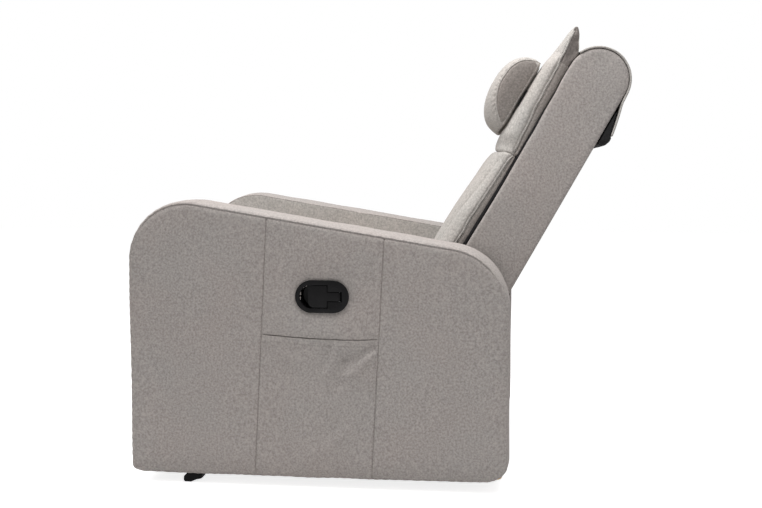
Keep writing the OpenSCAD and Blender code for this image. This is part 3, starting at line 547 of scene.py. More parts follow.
def arm_edge(inset, pitch=5.0):
    """Points and outward normals round the arm's outline, set in by a distance, in (y, z)"""
    rear = np.array([ARM_REAR - ARM_REAR_RADIUS, ARM_REAR_TOP - ARM_REAR_RADIUS])
    front = np.array([ARM_FRONT + ARM_FRONT_RADIUS, ARM_TOP - ARM_FRONT_RADIUS])
    run = rear - front
    top = math.degrees(math.atan2(run[1], run[0]) +
                       math.acos((ARM_FRONT_RADIUS - ARM_REAR_RADIUS) / np.linalg.norm(run)))
    rear_low = (ARM_REAR - ARM_REAR_LOW_RADIUS, ARM_BOTTOM + ARM_REAR_LOW_RADIUS)
    front_low = (ARM_FRONT + ARM_LOW_RADIUS, ARM_BOTTOM + ARM_LOW_RADIUS)
    corners = [(rear_low, ARM_REAR_LOW_RADIUS, -90, 0), (rear, ARM_REAR_RADIUS, 0, top),
               (front, ARM_FRONT_RADIUS, top, 180), (front_low, ARM_LOW_RADIUS, 180, 270)]
    both = []
    for centre, radius, start, end in corners:
        count = max(4, math.ceil(radius * math.radians(end - start) / pitch))
        turn = angles(start, end, count + 1)
        normals = np.column_stack([np.cos(turn), np.sin(turn)])
        both.append(np.hstack([centre + (radius - inset) * normals, normals]))
    both = closed(np.vstack(both))
    full = []
    for here, after in zip(both[:-1], both[1:]):
        count = max(1, round(np.linalg.norm(after[:2] - here[:2]) / pitch))
        full += [here + (after - here) * k / count for k in range(count)]
    full = np.array(full)
    full[:, 1] += under_lift(full[:, 0]) * (1 - step(full[:, 1], ARM_BOTTOM, ARM_BOTTOM + 90))
    return full[:, :2], unit(full[:, 2:])


SIDE_EDGE = closed(arm_edge(BAND)[0])


def oval_distance(y, z):
    """Distance outside the handle plate's edge"""
    run = np.clip(y - PLATE_Y, -PLATE_RUN, PLATE_RUN)
    return np.hypot(y - PLATE_Y - run, z - PLATE_Z) - PLATE_RADIUS


def groove_share(up):
    """How much of its full depth the boxing's seam has, where the arm's edge faces this much upward"""
    return 0.15 + 0.85 * step(up, 0.45, 0.8)


def groove_on(grid):
    """The same at the places of a grid, from the nearest place of the arm's edge"""
    points, normals = arm_edge(BAND, 12)
    nearest = np.argmin(((grid[..., None, :] - points) ** 2).sum(axis=-1), axis=-1)
    return groove_share(normals[nearest, 1])


def side_face(grid, seams, seed):
    """How far out the padded side stands, over its grid of (y, z) points"""
    y, z = grid[..., 0], grid[..., 1]
    from_edge = distance_to(grid, SIDE_EDGE)
    out = ARM_OUTER + rolled(from_edge, 11, 4.5) * groove_on(grid)
    out += rolled(z - ARM_BOTTOM - BAND - under_lift(y), 38, UNDER_ROLL)
    nearest = from_edge
    for seam in seams:
        gap = np.abs(y - seam - SEAM_LEAN * (z - SEAM_MIDDLE))
        out += rolled(gap, 7, 2.6)
        pucker = np.sin(z / 2.9 + 3 * np.sin(z / 31)) * np.exp(-(gap / 11) ** 2)
        low_end = 1 + 2.5 * np.exp(-((z - ARM_BOTTOM) / 60) ** 2)
        out += 0.28 * low_end * pucker * step(gap, 0, 4)
        nearest = np.minimum(nearest, gap)
    out += 3.0 * (1 - np.exp(-nearest / 55))
    out += 0.9 * waves(grid, 210, seed) * step(nearest, 0, 50)
    out += 0.25 * waves(grid, 60, seed + 1) * step(nearest, 0, 25)
    ripple = np.sin(y / 4.1 + 2 * np.sin(y / 37)) + np.sin(z / 4.3 + 2 * np.sin(z / 41))
    out += 0.12 * ripple * np.exp(-(from_edge / 14) ** 2) * step(from_edge, 1, 5)
    return out


def side_panel(name, sign, first, last, counts, seed, seams, fitted=False):
    """One of the three cloth panels of an arm's side, between two (place, slope) lines. A fitted one takes
    the handle and lies behind the pocket."""
    across = spaced(0, 1, counts[0], [(0, 0.09, 5), (1, 0.09, 5)])
    places = [(0, 0.02, 5), (1, 0.02, 5)] + ([(MOUTH_SHARE, 0.03, 3)] if fitted else [])
    shares = spaced(0, 1, counts[1], places)
    if fitted:
        shares[np.argmin(np.abs(shares - MOUTH_SHARE))] = MOUTH_SHARE
    positions = first[0] + (last[0] - first[0]) * across
    slopes = first[1] + (last[1] - first[1]) * across
    grid = scan(SIDE_EDGE, positions, slopes, shares, MOUTH if fitted else None)
    y, z = grid[..., 0], grid[..., 1]
    out = side_face(grid, seams, seed)
    faces = grid_faces(grid)
    if fitted:
        outside = oval_distance(y, z)
        out -= DISH * np.exp(-(np.maximum(outside, 0) / DISH_WIDTH) ** 1.25)
        out = np.where(outside < 1, np.minimum(out, ARM_OUTER - 4.5), out)
        sunk = step(along(MOUTH, y) - z, -2.5, 5) * step(from_sides(y, z), 1, 7)
        out -= (out - ARM_OUTER + POCKET_ROOM) * sunk
        flat = grid.reshape(-1, 2)
        faces = [f for f in faces if oval_distance(*flat[list(f)].mean(axis=0)) > -8]
    points = np.stack([sign * out, y, z], axis=-1)
    solid = thickened(points, faces, [-sign * CLOTH_THICK, 0, 0])
    padded_build(name, *solid, side_cloth, "base", "side_cloth", name + "_panel")


def from_sides(y, z):
    """Distance to the nearer of the pocket's two side seams"""
    lean = SEAM_LEAN * (z - SEAM_MIDDLE)
    return np.minimum(y - FRONT_SEAM - lean, REAR_SEAM + lean - y)


def arm_sides(side, sign, fitted):
    front = (ARM_FRONT + BAND + 0.3, 0)
    rear = (ARM_REAR - BAND - 0.3, 0)
    one, two = (FRONT_SEAM, SEAM_LEAN), (REAR_SEAM, SEAM_LEAN)
    side_panel(f"arm_{side}_front", sign, front, one, (70, 130), 11, [FRONT_SEAM])
    side_panel(f"arm_{side}_middle", sign, one, two, (76, 170), 12, [FRONT_SEAM, REAR_SEAM], fitted)
    side_panel(f"arm_{side}_rear", sign, two, rear, (70, 130), 13, [REAR_SEAM])


def arm_boxing(side, sign):
    """The band of cloth that wraps the arm's edge, with a rolled corner at each side"""
    pitch = 4.5
    roll, inner_roll = 17, 7
    path, normals = arm_edge(BAND, pitch)
    middle = (ARM_OUTER + ARM_INNER) / 2
    half = (ARM_OUTER - ARM_INNER) / 2
    profile = [(half - roll + roll * math.cos(a), BAND * math.sin(a)) for a in angles(-14, 90, 18)]
    profile += [((half - roll) * (1 - 2 * t), BAND + 2.2 * math.sin(math.pi * t))
                for t in np.linspace(0.1, 0.9, 9)]
    profile += [(-half + inner_roll * (1 - math.cos(a)), BAND + INNER_BAND * (math.sin(a) - 1))
                for a in angles(90, -14, 18)]
    across, rise = np.array(profile + [(-half + 8, -6), (half - 16, -6)]).T
    groove = across * 0
    groove[:7] = 3.4 * (1 - np.linspace(0, 1, 7)) ** 1.2
    rows = []
    for number, (point, normal) in enumerate(zip(path, normals)):
        run = number * pitch
        ripple = 0.35 * np.sin(run / 3.3 + 3 * math.sin(run / 47)) * (across > half - 14) * (rise > 1)
        under = UNDER_ROLL * step(-normal[1], 0.3, 1) * step(across, half - 40, half - 5)
        out = sign * (middle + across - under - groove * groove_share(normal[1]))
        rows.append(np.column_stack([out, point + normal * (rise + ripple)[:, None]]))
    rows = np.array(rows)
    drift = 0.7 * waves(rows, 130, 21) * (rise > 4)
    rows[..., 1:] += drift[..., None] * normals[:, None]
    faces = ring_faces(rows, around=True)
    padded_build(f"arm_{side}_band", rows, faces, side_cloth, "base", "side_cloth", f"arm_{side}_boxing")


def arm_inner(side, sign):
    """The cloth on the arm's inner face, in the lighter copy of the cloth: painted light"""
    edge = closed(arm_edge(INNER_BAND)[0])
    positions = spaced(ARM_FRONT + INNER_BAND + 0.3, ARM_REAR - INNER_BAND - 0.3, 190,
                       [(ARM_FRONT, 40, 4), (ARM_REAR, 40, 4)] + [(y, 7, 5) for y in INNER_SEAMS])
    shares = spaced(0, 1, 110, [(0, 0.02, 5), (1, 0.02, 5)])
    grid = scan(edge, positions, positions * 0, shares)
    from_edge = distance_to(grid, edge)
    y, z = grid[..., 0], grid[..., 1]
    out = rolled(from_edge, 6, 1.4)
    for seam in INNER_SEAMS:
        out += rolled(np.abs(y - seam), 4, 1.3)
    out += 0.7 * waves(grid, 190, 31) * step(from_edge, 0, 50) * step(z, 380, 440)
    points = np.stack([sign * (ARM_INNER - out), y, z], axis=-1)
    solid = thickened(points, grid_faces(grid), [sign * CLOTH_THICK, 0, 0])
    padded_build(f"arm_{side}_inner", *solid, top_cloth, "base", "side_cloth", f"arm_{side}_inner_panel")


def side_pocket():
    """The cloth pocket sewn on between the two seams, sagging a little at its mouth"""
    low = ARM_BOTTOM + BAND
    across = spaced(0, 1, 76, [(0, 0.09, 5), (1, 0.09, 5)])
    rows = spaced(0, 1, 120, [(0, 0.03, 4), (1, 0.05, 5)])
    place = (FRONT_SEAM + (REAR_SEAM - FRONT_SEAM) * across)[:, None]
    z = low + (along(MOUTH, place) - low) * rows
    y = place + SEAM_LEAN * (z - SEAM_MIDDLE)
    grid = np.stack([y, z], axis=-1)
    out = side_face(grid, [FRONT_SEAM, REAR_SEAM], 12)
    below = along(MOUTH, y) - z
    aside = from_sides(y, z)
    inner = step(aside, 0, 30)
    out += 1.2 * inner * step(below, 90, 0)
    out += 0.8 * step(below, HEM + 2, HEM - 1) * step(aside, 1, 5)
    out -= 0.9 * np.exp(-((below - HEM) / 1.5) ** 2) * inner
    for start, end, width, height in FOLDS:
        line = np.array([start, ((start[0] + end[0]) / 2, (start[1] + end[1]) / 2 - 9), end], float)
        gap = distance_to(grid, resampled(line, 8))
        out += height * np.exp(-(gap / width) ** 2) * step(aside, 0, 10)
    points = np.stack([out, y, z], axis=-1)
    solid = thickened(points, grid_faces(grid), [-POCKET_THICK, 0, 0])
    piece = build("side_pocket_cloth", *solid, side_cloth, "base", "side_cloth", "side_pocket")
    width = (REAR_SEAM - FRONT_SEAM) * MM


# ---- Handle and feet ----
def eased_copy(name, source, width, material, body):
    """A copy of a CAD node's shape with its hard edges rounded"""
    edit = bmesh.new()
    edit.from_mesh(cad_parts[source].data)
    bmesh.ops.remove_doubles(edit, verts=edit.verts, dist=1e-5)
    bmesh.ops.dissolve_limit(edit, angle_limit=math.radians(1), verts=edit.verts, edges=edit.edges)
    hard = [e for e in edit.edges if len(e.link_faces) == 2 and e.calc_face_angle() > math.radians(35)]
    bmesh.ops.bevel(edit, geom=hard, offset=width * MM, segments=3, affect="EDGES",
                    profile=0.5, clamp_overlap=True)
    mesh = bpy.data.meshes.new(name)
    edit.to_mesh(mesh)
    edit.free()
    finish_piece(placed(name, mesh), material, body, source)
    mesh.set_sharp_from_angle(angle=math.radians(40))


# ---- Back shell ----
def shell_outline(inset):
    """The back shell's closed outline in (u, v), set in by a distance"""
    radius = SHELL_RADIUS - inset
    arc = [(SHELL_U + radius * math.sin(a), SHELL_V + radius * math.cos(a)) for a in angles(180, 0, 49)]
    rear = SHELL_FRONT + 2 * SHELL_RADIUS + SHELL_FLARE
    low, low_cut = SHELL_LOW + inset, SHELL_LOW + 14
    return closed(np.array(arc + [(low_cut, rear - inset), (low, rear - 14), (low, SHELL_FRONT + 14),
                                  (low_cut, SHELL_FRONT + inset)]))


def back_side(side, sign):
    """The cloth on the side of the back's shell"""
    edge = shell_outline(0.5)
    top = SHELL_U + SHELL_RADIUS
    positions = spaced(SHELL_LOW + 0.6, top - 0.7, 190, [(top, 25, 6), (SHELL_LOW, 12, 4)])
    shares = spaced(0, 1, 44, [(0, 0.08, 3), (1, 0.08, 3)])
    grid = scan(edge, positions, positions * 0, shares)
    u, v = grid[..., 0], grid[..., 1]
    from_edge = distance_to(grid, edge)
    out = BACK_HALF + rolled(from_edge, 9, 5) + 2.0 * (1 - np.exp(-from_edge / 22))
    out += 0.8 * waves(grid, 170, 41) * step(from_edge, 0, 30)
    v = v + along(BOW, u) * np.clip(1 - (v - SHELL_FRONT) / 60, 0, 1)
    ripple = np.sin(u / 3.6 + 2 * np.sin(u / 43)) * np.exp(-(from_edge / 12) ** 2)
    out += 0.15 * ripple * step(from_edge, 1, 5)
    solid = thickened(back(sign * out, v, u), grid_faces(grid), [-sign * 6.5, 0, 0])
    padded_build(f"back_{side}_cloth", *solid, side_cloth, "back", "side_cloth", f"back_side_{side}")


def back_wrap():
    """The cloth round the shell's rear, top and bottom"""
    half = SIDE_INNER + 3
    outline = resampled(shell_outline(0), 6)[:-1]
    following = np.roll(outline, -1, axis=0) - np.roll(outline, 1, axis=0)
    out = unit(np.stack([following[:, 0] * 0, -following[:, 0], following[:, 1]], axis=-1))[:, None]
    x = spaced(-half, half, 60, [(-half, 12, 6), (half, 12, 6)])
    from_side = half - np.abs(x)
    rise = rolled(from_side, 10, 5) + 2.0 * (1 - np.exp(-from_side / 60)) - 1.5
    rows = np.stack(np.broadcast_arrays(x, outline[:, 1:], outline[:, :1]), axis=-1) + rise[:, None] * out
    rows += (1.1 * waves(rows, 200, 51) * step(from_side, 0, 60))[..., None] * out
    faces = grid_faces(rows, around=True)
    depth = np.broadcast_to(-5 * out, rows.shape)
    points, faces = thickened(rows, faces, depth.reshape(-1, 3))
    piece = padded_build("back_rear_cloth", back(*points.T), faces, side_cloth, "back", "side_cloth",
                         "back_wrap")
    # Painted shade: the wrap's front faces near the sides, seen in the gap behind the cushions, are made
    # black
    tint(piece, black_cloth_and_gap_shade, lambda x, v, u: (v < 10) & (np.abs(x) > half - 12) & (u < 440))


# ---- Soft pads ----
def lofted(rings):
    """Points and faces through closed rings, each end drawn in to a middle point"""
    shares = (0.02, 0.35, 0.7, 0.9)
    first, last = rings[0].mean(axis=0), rings[-1].mean(axis=0)
    start = [first + (rings[0] - first) * share for share in shares]
    end = [last + (rings[-1] - last) * share for share in shares[::-1]]
    capped = np.array(start + list(rings) + end)
    return capped.reshape(-1, 3), ring_faces(capped)


def evaluated(piece):
    """A piece's mesh with its modifiers applied"""
    graph = bpy.context.evaluated_depsgraph_get()
    return bpy.data.meshes.new_from_object(piece.evaluated_get(graph))


def apply_modifiers(piece):
    piece.data = evaluated(piece)
    piece.modifiers.clear()


def vectors(items, key="co"):
    """A named vector of each of a mesh's vertices or faces"""
    flat = np.zeros(len(items) * 3)
    items.foreach_get(key, flat)
    return flat.reshape(-1, 3)


def move_points(piece, points):
    """Puts a piece's vertices at places in millimetres"""
    piece.data.vertices.foreach_set("co", (points * MM).ravel())
    piece.data.update()


def plump(piece, cap, voxel):
    """Remeshes a pad, swells it with cloth simulation, and keeps each point within cap of its start"""
    remesh = piece.modifiers.new("remesh", "REMESH")
    remesh.mode = "VOXEL"
    remesh.voxel_size = voxel * MM
    apply_modifiers(piece)
    start = vectors(piece.data.vertices)
    swell = piece.modifiers.new("cloth", "CLOTH")
    swell.settings.use_pressure = True
    swell.settings.uniform_pressure_force = PRESSURE
    swell.settings.effector_weights.gravity = 0
    swell.settings.quality = 4
    swell.point_cache.frame_start = 1
    swell.point_cache.frame_end = FRAMES
    for number in range(1, FRAMES + 1):
        bpy.context.scene.frame_set(number)
    move = vectors(evaluated(piece).vertices) - start
    piece.modifiers.clear()
    bpy.context.scene.frame_set(1)
    length = np.linalg.norm(move, axis=1)[:, None]
    limit = cap * MM
    kept = start + move * np.tanh(length / limit) * limit / np.maximum(length, 1e-9)
    piece.data.vertices.foreach_set("co", kept.ravel())
    smooth = piece.modifiers.new("subdivision", "SUBSURF")
    smooth.levels = 1
    apply_modifiers(piece)


def shift(piece, amount):
    """Moves each point along its normal by amount(points in mm, normals)"""
    points = vectors(piece.data.vertices) / MM
    normals = vectors(piece.data.vertices, "normal")
    move_points(piece, points + amount(points, normals)[:, None] * normals)


def onto(piece, path, lift=0.0):
    """A path laid on a piece's surface, with the surface's normals"""
    tree = BVHTree.FromObject(piece, bpy.context.evaluated_depsgraph_get())
    laid, normals = [], []
    for point in path:
        spot, normal, _, _ = tree.find_nearest(Vector(point) * MM)
        laid.append(np.array(spot / MM + normal * lift))
        normals.append(np.array(normal))
    return np.array(laid), np.array(normals)


def smooth_path(path, rounds=3):
    """A path with its corners eased"""
    path = np.array(path)
    for _ in range(rounds):
        path[1:-1] = (path[:-2] + 2 * path[1:-1] + path[2:]) / 4
    return path


def near_lines(points, lines):
    """Distance of each point to the nearest of several lines"""
    return np.min([distance_to(points, line) for line in lines], axis=0)


def sew(piece, name, paths, body, depth, width, radius=0.0, twin=0.0, material=top_cloth):
    """Sinks a groove along each path and lays piping in it, or stitches at twin's distance from it"""
    laid = [smooth_path(onto(piece, resampled(path, 6))[0]) for path in paths]
    parts = []

    def sunk(points, _):
        gap = near_lines(points, [path[::2] for path in laid])
        return -depth * np.clip(1 - (gap / width) ** 2, 0, 1) ** 2

    shift(piece, sunk)
    for path in laid:
        line, normals = onto(piece, path, radius * 0.3)
        if radius:
            parts.append(tube(smooth_path(line), radius, 8, 0.6))
        if twin:
            side = unit(np.cross(np.gradient(line, axis=0), normals))
            for sign in (-1, 1):
                row = onto(piece, line + sign * twin * side, 0.2)[0]
                parts.append(stitches(smooth_path(row)))
    build(name, *joined(parts), material, body, "top_cloth")


def pad(name, rings, body, replaced, cap, voxel=5.0):
    """A soft pad in the lighter copy of the cloth, which is painted light, swollen from closed rings"""
    piece = build(name, *lofted(rings), top_cloth, body, "top_cloth", replaced)
    plump(piece, cap, voxel)
    clad(piece.data, top_cloth)
    piece.data.shade_smooth()
    return piece


def cushion_ring(u, half, front, welt, rear, roll, power):
    """Cross-section of a back cushion at one height: flat rear, boxed sides and crowned front. The crown
    takes up the given share of the half width."""
    right = [((half - 4) * t, rear) for t in np.linspace(0, 1, 14)[:-1]]
    for t in np.linspace(0, 1, 7):
        right.append((half - 4 * (1 - min(1, t * 4)), rear + (welt - rear) * t))
    for angle in angles(4, 90, 34):
        x = half * (1 - roll + roll * math.cos(angle) ** (2 / power))
        right.append((x, welt + (front - welt) * math.sin(angle) ** (2 / power)))
    right += [(half * (1 - roll) * (1 - t), front) for t in np.linspace(0, 1, 8)[1:]]
    x, v = np.array(right + [(-x, v) for x, v in right[-2:0:-1]]).T
    return back(x, v, u)


def corner(u, end, radius):
    """Share from 0 to 1 that rises round a rounded end of a radius"""
    t = np.clip(abs(end - u) / radius, 0, 1)
    return math.sqrt(1 - (1 - t) ** 2)


def seam_raised(ring):
    """Lifts a ring's sides where it is near the seam between the cushions"""
    x, v, u = from_back(ring)
    lift = SEAM_RISE * (np.abs(x) / BACK_HALF) ** 9 * np.exp(-((u - SPLIT) / 55) ** 2)
    return back(x, v, u + lift)


def back_cushion(name, low, fronts, replaced, places, cap, voxel):
    """A back cushion from its fronts at places along the back, flattened softly where its v passes low"""
    rings = []
    for u in places:
        rise = corner(u, LUMBAR_LOW, 24)
        share = min(0.5 + 0.5 * rise, 0.95 + 0.05 * corner(u, SPLIT, 7))
        welt, rear = along(WELT, u), along(REAR, u)
        front = welt + (along(fronts, u) - welt) * share
        half = BACK_HALF - 3 - 4 * (1 - rise) - 6 * step(u, 512, TIP_U)
        welt = max(min(welt, rear - 2), front + 2)
        ring = cushion_ring(u, half, front, welt, rear, 1 - 0.45 * step(u, 440, 530),
                            2.5 + 1.7 * step(u, 225, 260) * (1 - step(u, 430, 470)))
        hollow = 7 * step(u, 450, 475) * (1 - step(u, 505, 528))
        x, v, height = from_back(ring)
        depth = np.clip((v - welt) / max(rear - welt, 1), 0, 1)
        side = step(np.abs(x), half - 9, half - 5)
        x = x - np.sign(x) * hollow * side * np.sin(math.pi * depth)
        v = v + max(along(BOW, u) - 0.5, 0) * step(np.abs(x), half - 17, half - 8) * step(depth, 0, 0.6)
        rings.append(seam_raised(back(x, v, height)))
    piece = pad(name, rings, "back", replaced, cap, voxel)
    x, v, u = from_back(vectors(piece.data.vertices) / MM)
    over = np.maximum(low + 3 - v, 0)
    v = np.where(over > 0, low + 3 - 3 * np.tanh(over / 3), v)
    move_points(piece, back(x, v, u))
    return piece


def welted(piece, name, low, high):
    """Piping down both sides of a back cushion, where its face meets its boxing"""
    u = np.linspace(low, high, 70)
    v = along(WELT, u) - WELT_WIDTH / 2
    welts = [seam_raised(back(sign * (BACK_HALF + 2), v, u)) for sign in (-1, 1)]
    sew(piece, name, welts, "back", depth=5, width=7, radius=2.4)


def painted_shade_boxing_faces(x, v, u):
    """Which places of a back cushion lie on its boxing strip, which takes a darker copy of the cloth as
    painted shade
    """
    return (np.abs(x) > BACK_HALF - 9) & (u < GUSSET_LOW) & (v > along(WELT, u) - 1)


def lumbar_cushion():
    places = spaced(LUMBAR_LOW + 1, SPLIT + 1.5, 60, [(LUMBAR_LOW, 12, 5), (SPLIT, 14, 6)])
    piece = back_cushion("back_lumbar", -68.5, LUMBAR_FRONT, "back_cushion_lumbar", places,
                         cap=4, voxel=5.0)
    paths = []
    for sign in (-1, 1):
        line = smooth_path(resampled([(sign * x, u) for x, u in CHANNEL], 6), 12)
        paths.append(back(line[:, 0], -90.0, line[:, 1]))
    quilt(piece, paths, depth=5.5, width=13)
    welted(piece, "back_lumbar_welt", LUMBAR_LOW + 14, SPLIT - 1)
    # Painted shade on the boxing strips
    tint(piece, painted_shade_boxing_cloth, painted_shade_boxing_faces)


def quilt(piece, paths, depth, width):
    """Presses soft channels into a pad's front along paths that float before it"""
    tree = BVHTree.FromObject(piece, bpy.context.evaluated_depsgraph_get())
    rearward = Vector(back(0, 1, 0) - back(0, 0, 0))
    laid = []
    for path in paths:
        hits = [tree.ray_cast((Vector(p) - rearward * 80) * MM, rearward)[0] for p in path]
        laid.append(smooth_path([np.array(hit / MM) for hit in hits if hit is not None]))

    def sunk(points, _):
        gap = near_lines(points, laid)
        return -depth * (0.7 * np.exp(-(gap / width) ** 2) + 0.3 * np.clip(1 - gap / 5, 0, 1))

    shift(piece, sunk)


def upper_cushion():
    places = spaced(SPLIT - 1.5, TIP_U + 2.5, 96, [(SPLIT, 14, 6), (TIP_U, 20, 6), (490, 12, 3)])
    piece = back_cushion("back_upper", -59.5, UPPER_FRONT, "back_cushion_upper", places,
                         cap=3, voxel=4.5)
    welted(piece, "back_upper_welt", SPLIT + 1, TIP_U - 6)

    def gusset(x, v, u):
        return (np.abs(x) > BACK_HALF - 16) & (u > GUSSET_LOW) & (v > along(WELT, u) - 1)

    # Painted shade on the gussets at the top corners, and on the boxing strips
    tint(piece, painted_shade_gusset_cloth, gusset)
    tint(piece, painted_shade_boxing_cloth, painted_shade_boxing_faces)


def tint(piece, material, test):
    """Gives another material to the faces whose middles pass a test of their x, v and u"""
    mesh = piece.data
    mesh.materials.append(material)
    number = np.zeros(len(mesh.polygons), int)
    mesh.polygons.foreach_get("material_index", number)
    chosen = test(*from_back(vectors(mesh.polygons, "center") / MM))
    mesh.polygons.foreach_set("material_index", np.where(chosen, len(mesh.materials) - 1, number))
    mesh.update()


def head_flap():
    """The padded flap from the upper cushion over the shell's top and down behind"""
    thick, edge_radius = 2.3, 3
    ring = SHELL_RADIUS + 0.7 + thick
    path = [(SHELL_V + ring * math.cos(a), SHELL_U + ring * math.sin(a)) for a in angles(FLAP_START, 0, 70)]
    path += [(SHELL_V + dv, SHELL_U + du) for dv, du in FLAP_HANG]
    path = smooth_path(resampled(path, 3.5), 6)
    ahead = unit(np.gradient(path, axis=0))
    out = np.stack([-ahead[:, 1], ahead[:, 0]], axis=-1)
    half = BACK_HALF + 0.5 - edge_radius
    edge = [(edge_radius * math.cos(a), thick * math.sin(a)) for a in angles(-90, 90, 11)]
    across = half * (1 - 2 * np.linspace(0, 1, 30)[1:-1])
    profile = [(half + x, rise) for x, rise in edge]
    profile += [(x, thick + 0.8 * (1 - math.exp(-(half + edge_radius - abs(x)) / 20))) for x in across]
    profile += [(-half - x, -rise) for x, rise in edge]
    profile += [(-x, -thick) for x in across]
    x, rise = np.array(profile).T
    rings = []
    for point, normal in zip(path, out):
        rings.append(back(x, point[0] + normal[0] * rise, point[1] + normal[1] * rise))
    points, faces = lofted(rings)
    sway = 0.8 * waves(points, 120, 61)
    points[:, 1] += np.where(points[:, 1] > back(0, SHELL_V + 66, SHELL_U)[1], sway, 0)
    padded_build("head_flap_cloth", points, faces, top_cloth, "back", "top_cloth", "head_flap",
                 fill=0.3)


def flap_roll():
    """The weighted bag in black cloth that fills the space between the flap's hem and the shell"""
    half = BACK_HALF - 2
    section = resampled(BAG + BAG[:1], 3)[:-1]
    middle = section.mean(axis=0)
    rings = []
    for x in spaced(-half, half, 90, [(-half, 8, 5), (half, 8, 5)]):
        size = 1 - 0.3 * max(0, (abs(x) - half + 7) / 7) ** 2
        v, u = (middle + (section - middle) * size).T
        crease = (0.5 * math.sin(x / 9) + 0.3 * math.sin(x / 3.7)) * step(middle[1] - u, -10, 20)
        rings.append(back(x, v + crease * (v > 140), u - crease))
    padded_build("flap_roll", *lofted(rings), black_cloth_and_gap_shade, "back", "black_webbing", "flap_weight",
                 fill=0.8)


# ---- Head pillow ----
def pillow_back(x):
    """The v of the pillow's rear"""
    return PILLOW_BACK + PILLOW_WRAP * (np.abs(x) / PILLOW_HALF) ** 5


def pillow_ring(x):
    """Section of the pillow across the chair: small at its ends, full and hanging lower at its middle"""
    size = 1 - min(1, abs(x) / PILLOW_HALF) ** 3
    low, high = 263 - 17 * size, 431 + 8 * size
    deep = 59 + 14 * size
    waist = 361 - 11 * size
    sharp = 1 - 0.55 * size ** 0.6
    shares = np.sin(np.linspace(0, math.pi / 2, 16))
    upper = [(waist + (high - waist) * t, (1 - t ** 2.5) ** 0.45) for t in shares]
    lower = [(waist - (waist - low) * t, (1 - t ** 2.2) ** sharp) for t in shares]
    ring = [(-deep * depth, u) for u, depth in lower[::-1] + upper[1:]]
    ring += [(0, high - (high - low) * t) for t in np.linspace(0, 1, 17)[1:-1]]
    v, u = np.array(ring).T
    return back(x, v + pillow_back(x) - 1.5, u)


def head_pillow():
    half = PILLOW_HALF - 3
    rings = [pillow_ring(x) for x in spaced(-half, half, 64, [(-half, 20, 3), (half, 20, 3)])]
    domes = ((0.25, 5.5), (0.5, 5), (0.75, 4), (0.92, 2))
    for end in (0, -1):
        centre = rings[end].mean(axis=0)
        caps = [centre + (rings[end] - centre) * share + np.array([out if end else -out, 0, 0])
                for share, out in domes]
        rings = rings + caps[::-1] if end else caps + rings
    piece = pad("head_pillow_cloth", rings, "pillow", "head_pillow", cap=3.5, voxel=4.5)
    x, v, u = from_back(vectors(piece.data.vertices) / MM)
    move_points(piece, back(x, np.minimum(v, pillow_back(x)), u))

    def gathered(points, _):
        """Small pleats by each end's seam"""
        x, v, u = from_back(points)
        round_end = np.arctan2(u - 345, -v - 85)
        pleats = np.sin(round_end * 26 + 2 * np.sin(round_end * 5))
        gap = np.abs(x) - half
        near = np.exp(-(gap / np.where(gap > 0, 1.6, 12)) ** 2)
        return 0.8 * pleats * near * step(-v, -PILLOW_BACK + 4, 74)

    shift(piece, gathered)
    # Painted shade: the pillow's ends take the darker copy of the cloth
    tint(piece, painted_shade_boxing_cloth, lambda x, v, u: np.abs(x) > half + 0.5)
    for name, sign in (("left", 1), ("right", -1)):
        sew(piece, f"pillow_{name}_welt", [pillow_ring(sign * half)[:31]], "pillow", depth=2.2, width=6,
            radius=2.0)


def pillow_strap():
    """The elastic strap behind the pillow"""
    half = PILLOW_HALF - 2
    corners = ((0.2, STRAP_LOW), (0.2, STRAP_HIGH), (1.5, STRAP_HIGH), (1.5, STRAP_LOW))
    v, u = np.array(corners).T
    rings = np.array([back(x, pillow_back(x) + v, u) for x in np.linspace(-half, half, 60)])
    piece = build("pillow_strap_webbing", rings, ring_faces(rings), webbing_cloth, "pillow",
                  "black_webbing", "pillow_strap")
    piece.data.shade_flat()


# ---- Seat and footrest ----
def box_ring(x, low, high, radii, inset):
    """Rounded rectangle in (y, z), set in all round"""
    corners = [((high.y, low.z), radii[3], -90), ((high.y, high.z), radii[2], 0),
               ((low.y, high.z), radii[1], 90), ((low.y, low.z), radii[0], 180)]
    ring = []
    for (cy, cz), radius, start in corners:
        r = max(radius - inset, 2)
        py = cy - inset - r if cy == high.y else cy + inset + r
        pz = cz - inset - r if cz == high.z else cz + inset + r
        ring += [(py + r * math.cos(a), pz + r * math.sin(a)) for a in angles(start, start + 90, 9)]
    ring = resampled(ring + ring[:1], 1)
    y, z = ring[np.linspace(0, len(ring) - 1, 121).astype(int)[:-1]].T
    return np.stack([y * 0 + x, y, z], axis=-1)


def crowned_box(name, shrink, radii, edge_radius):
    """Rings across a CAD node's box, smaller toward its sides, and its low and high corners"""
    low, high = limits(name)
    half = high.x - shrink
    rings = []
    for x in spaced(-half, half, 70, [(-half, 20, 4), (half, 20, 4)]):
        inset = shrink + edge_radius * (1 - corner(abs(x), half, edge_radius))
        rings.append(box_ring(x, low, high, radii, inset))
    return rings, low, high


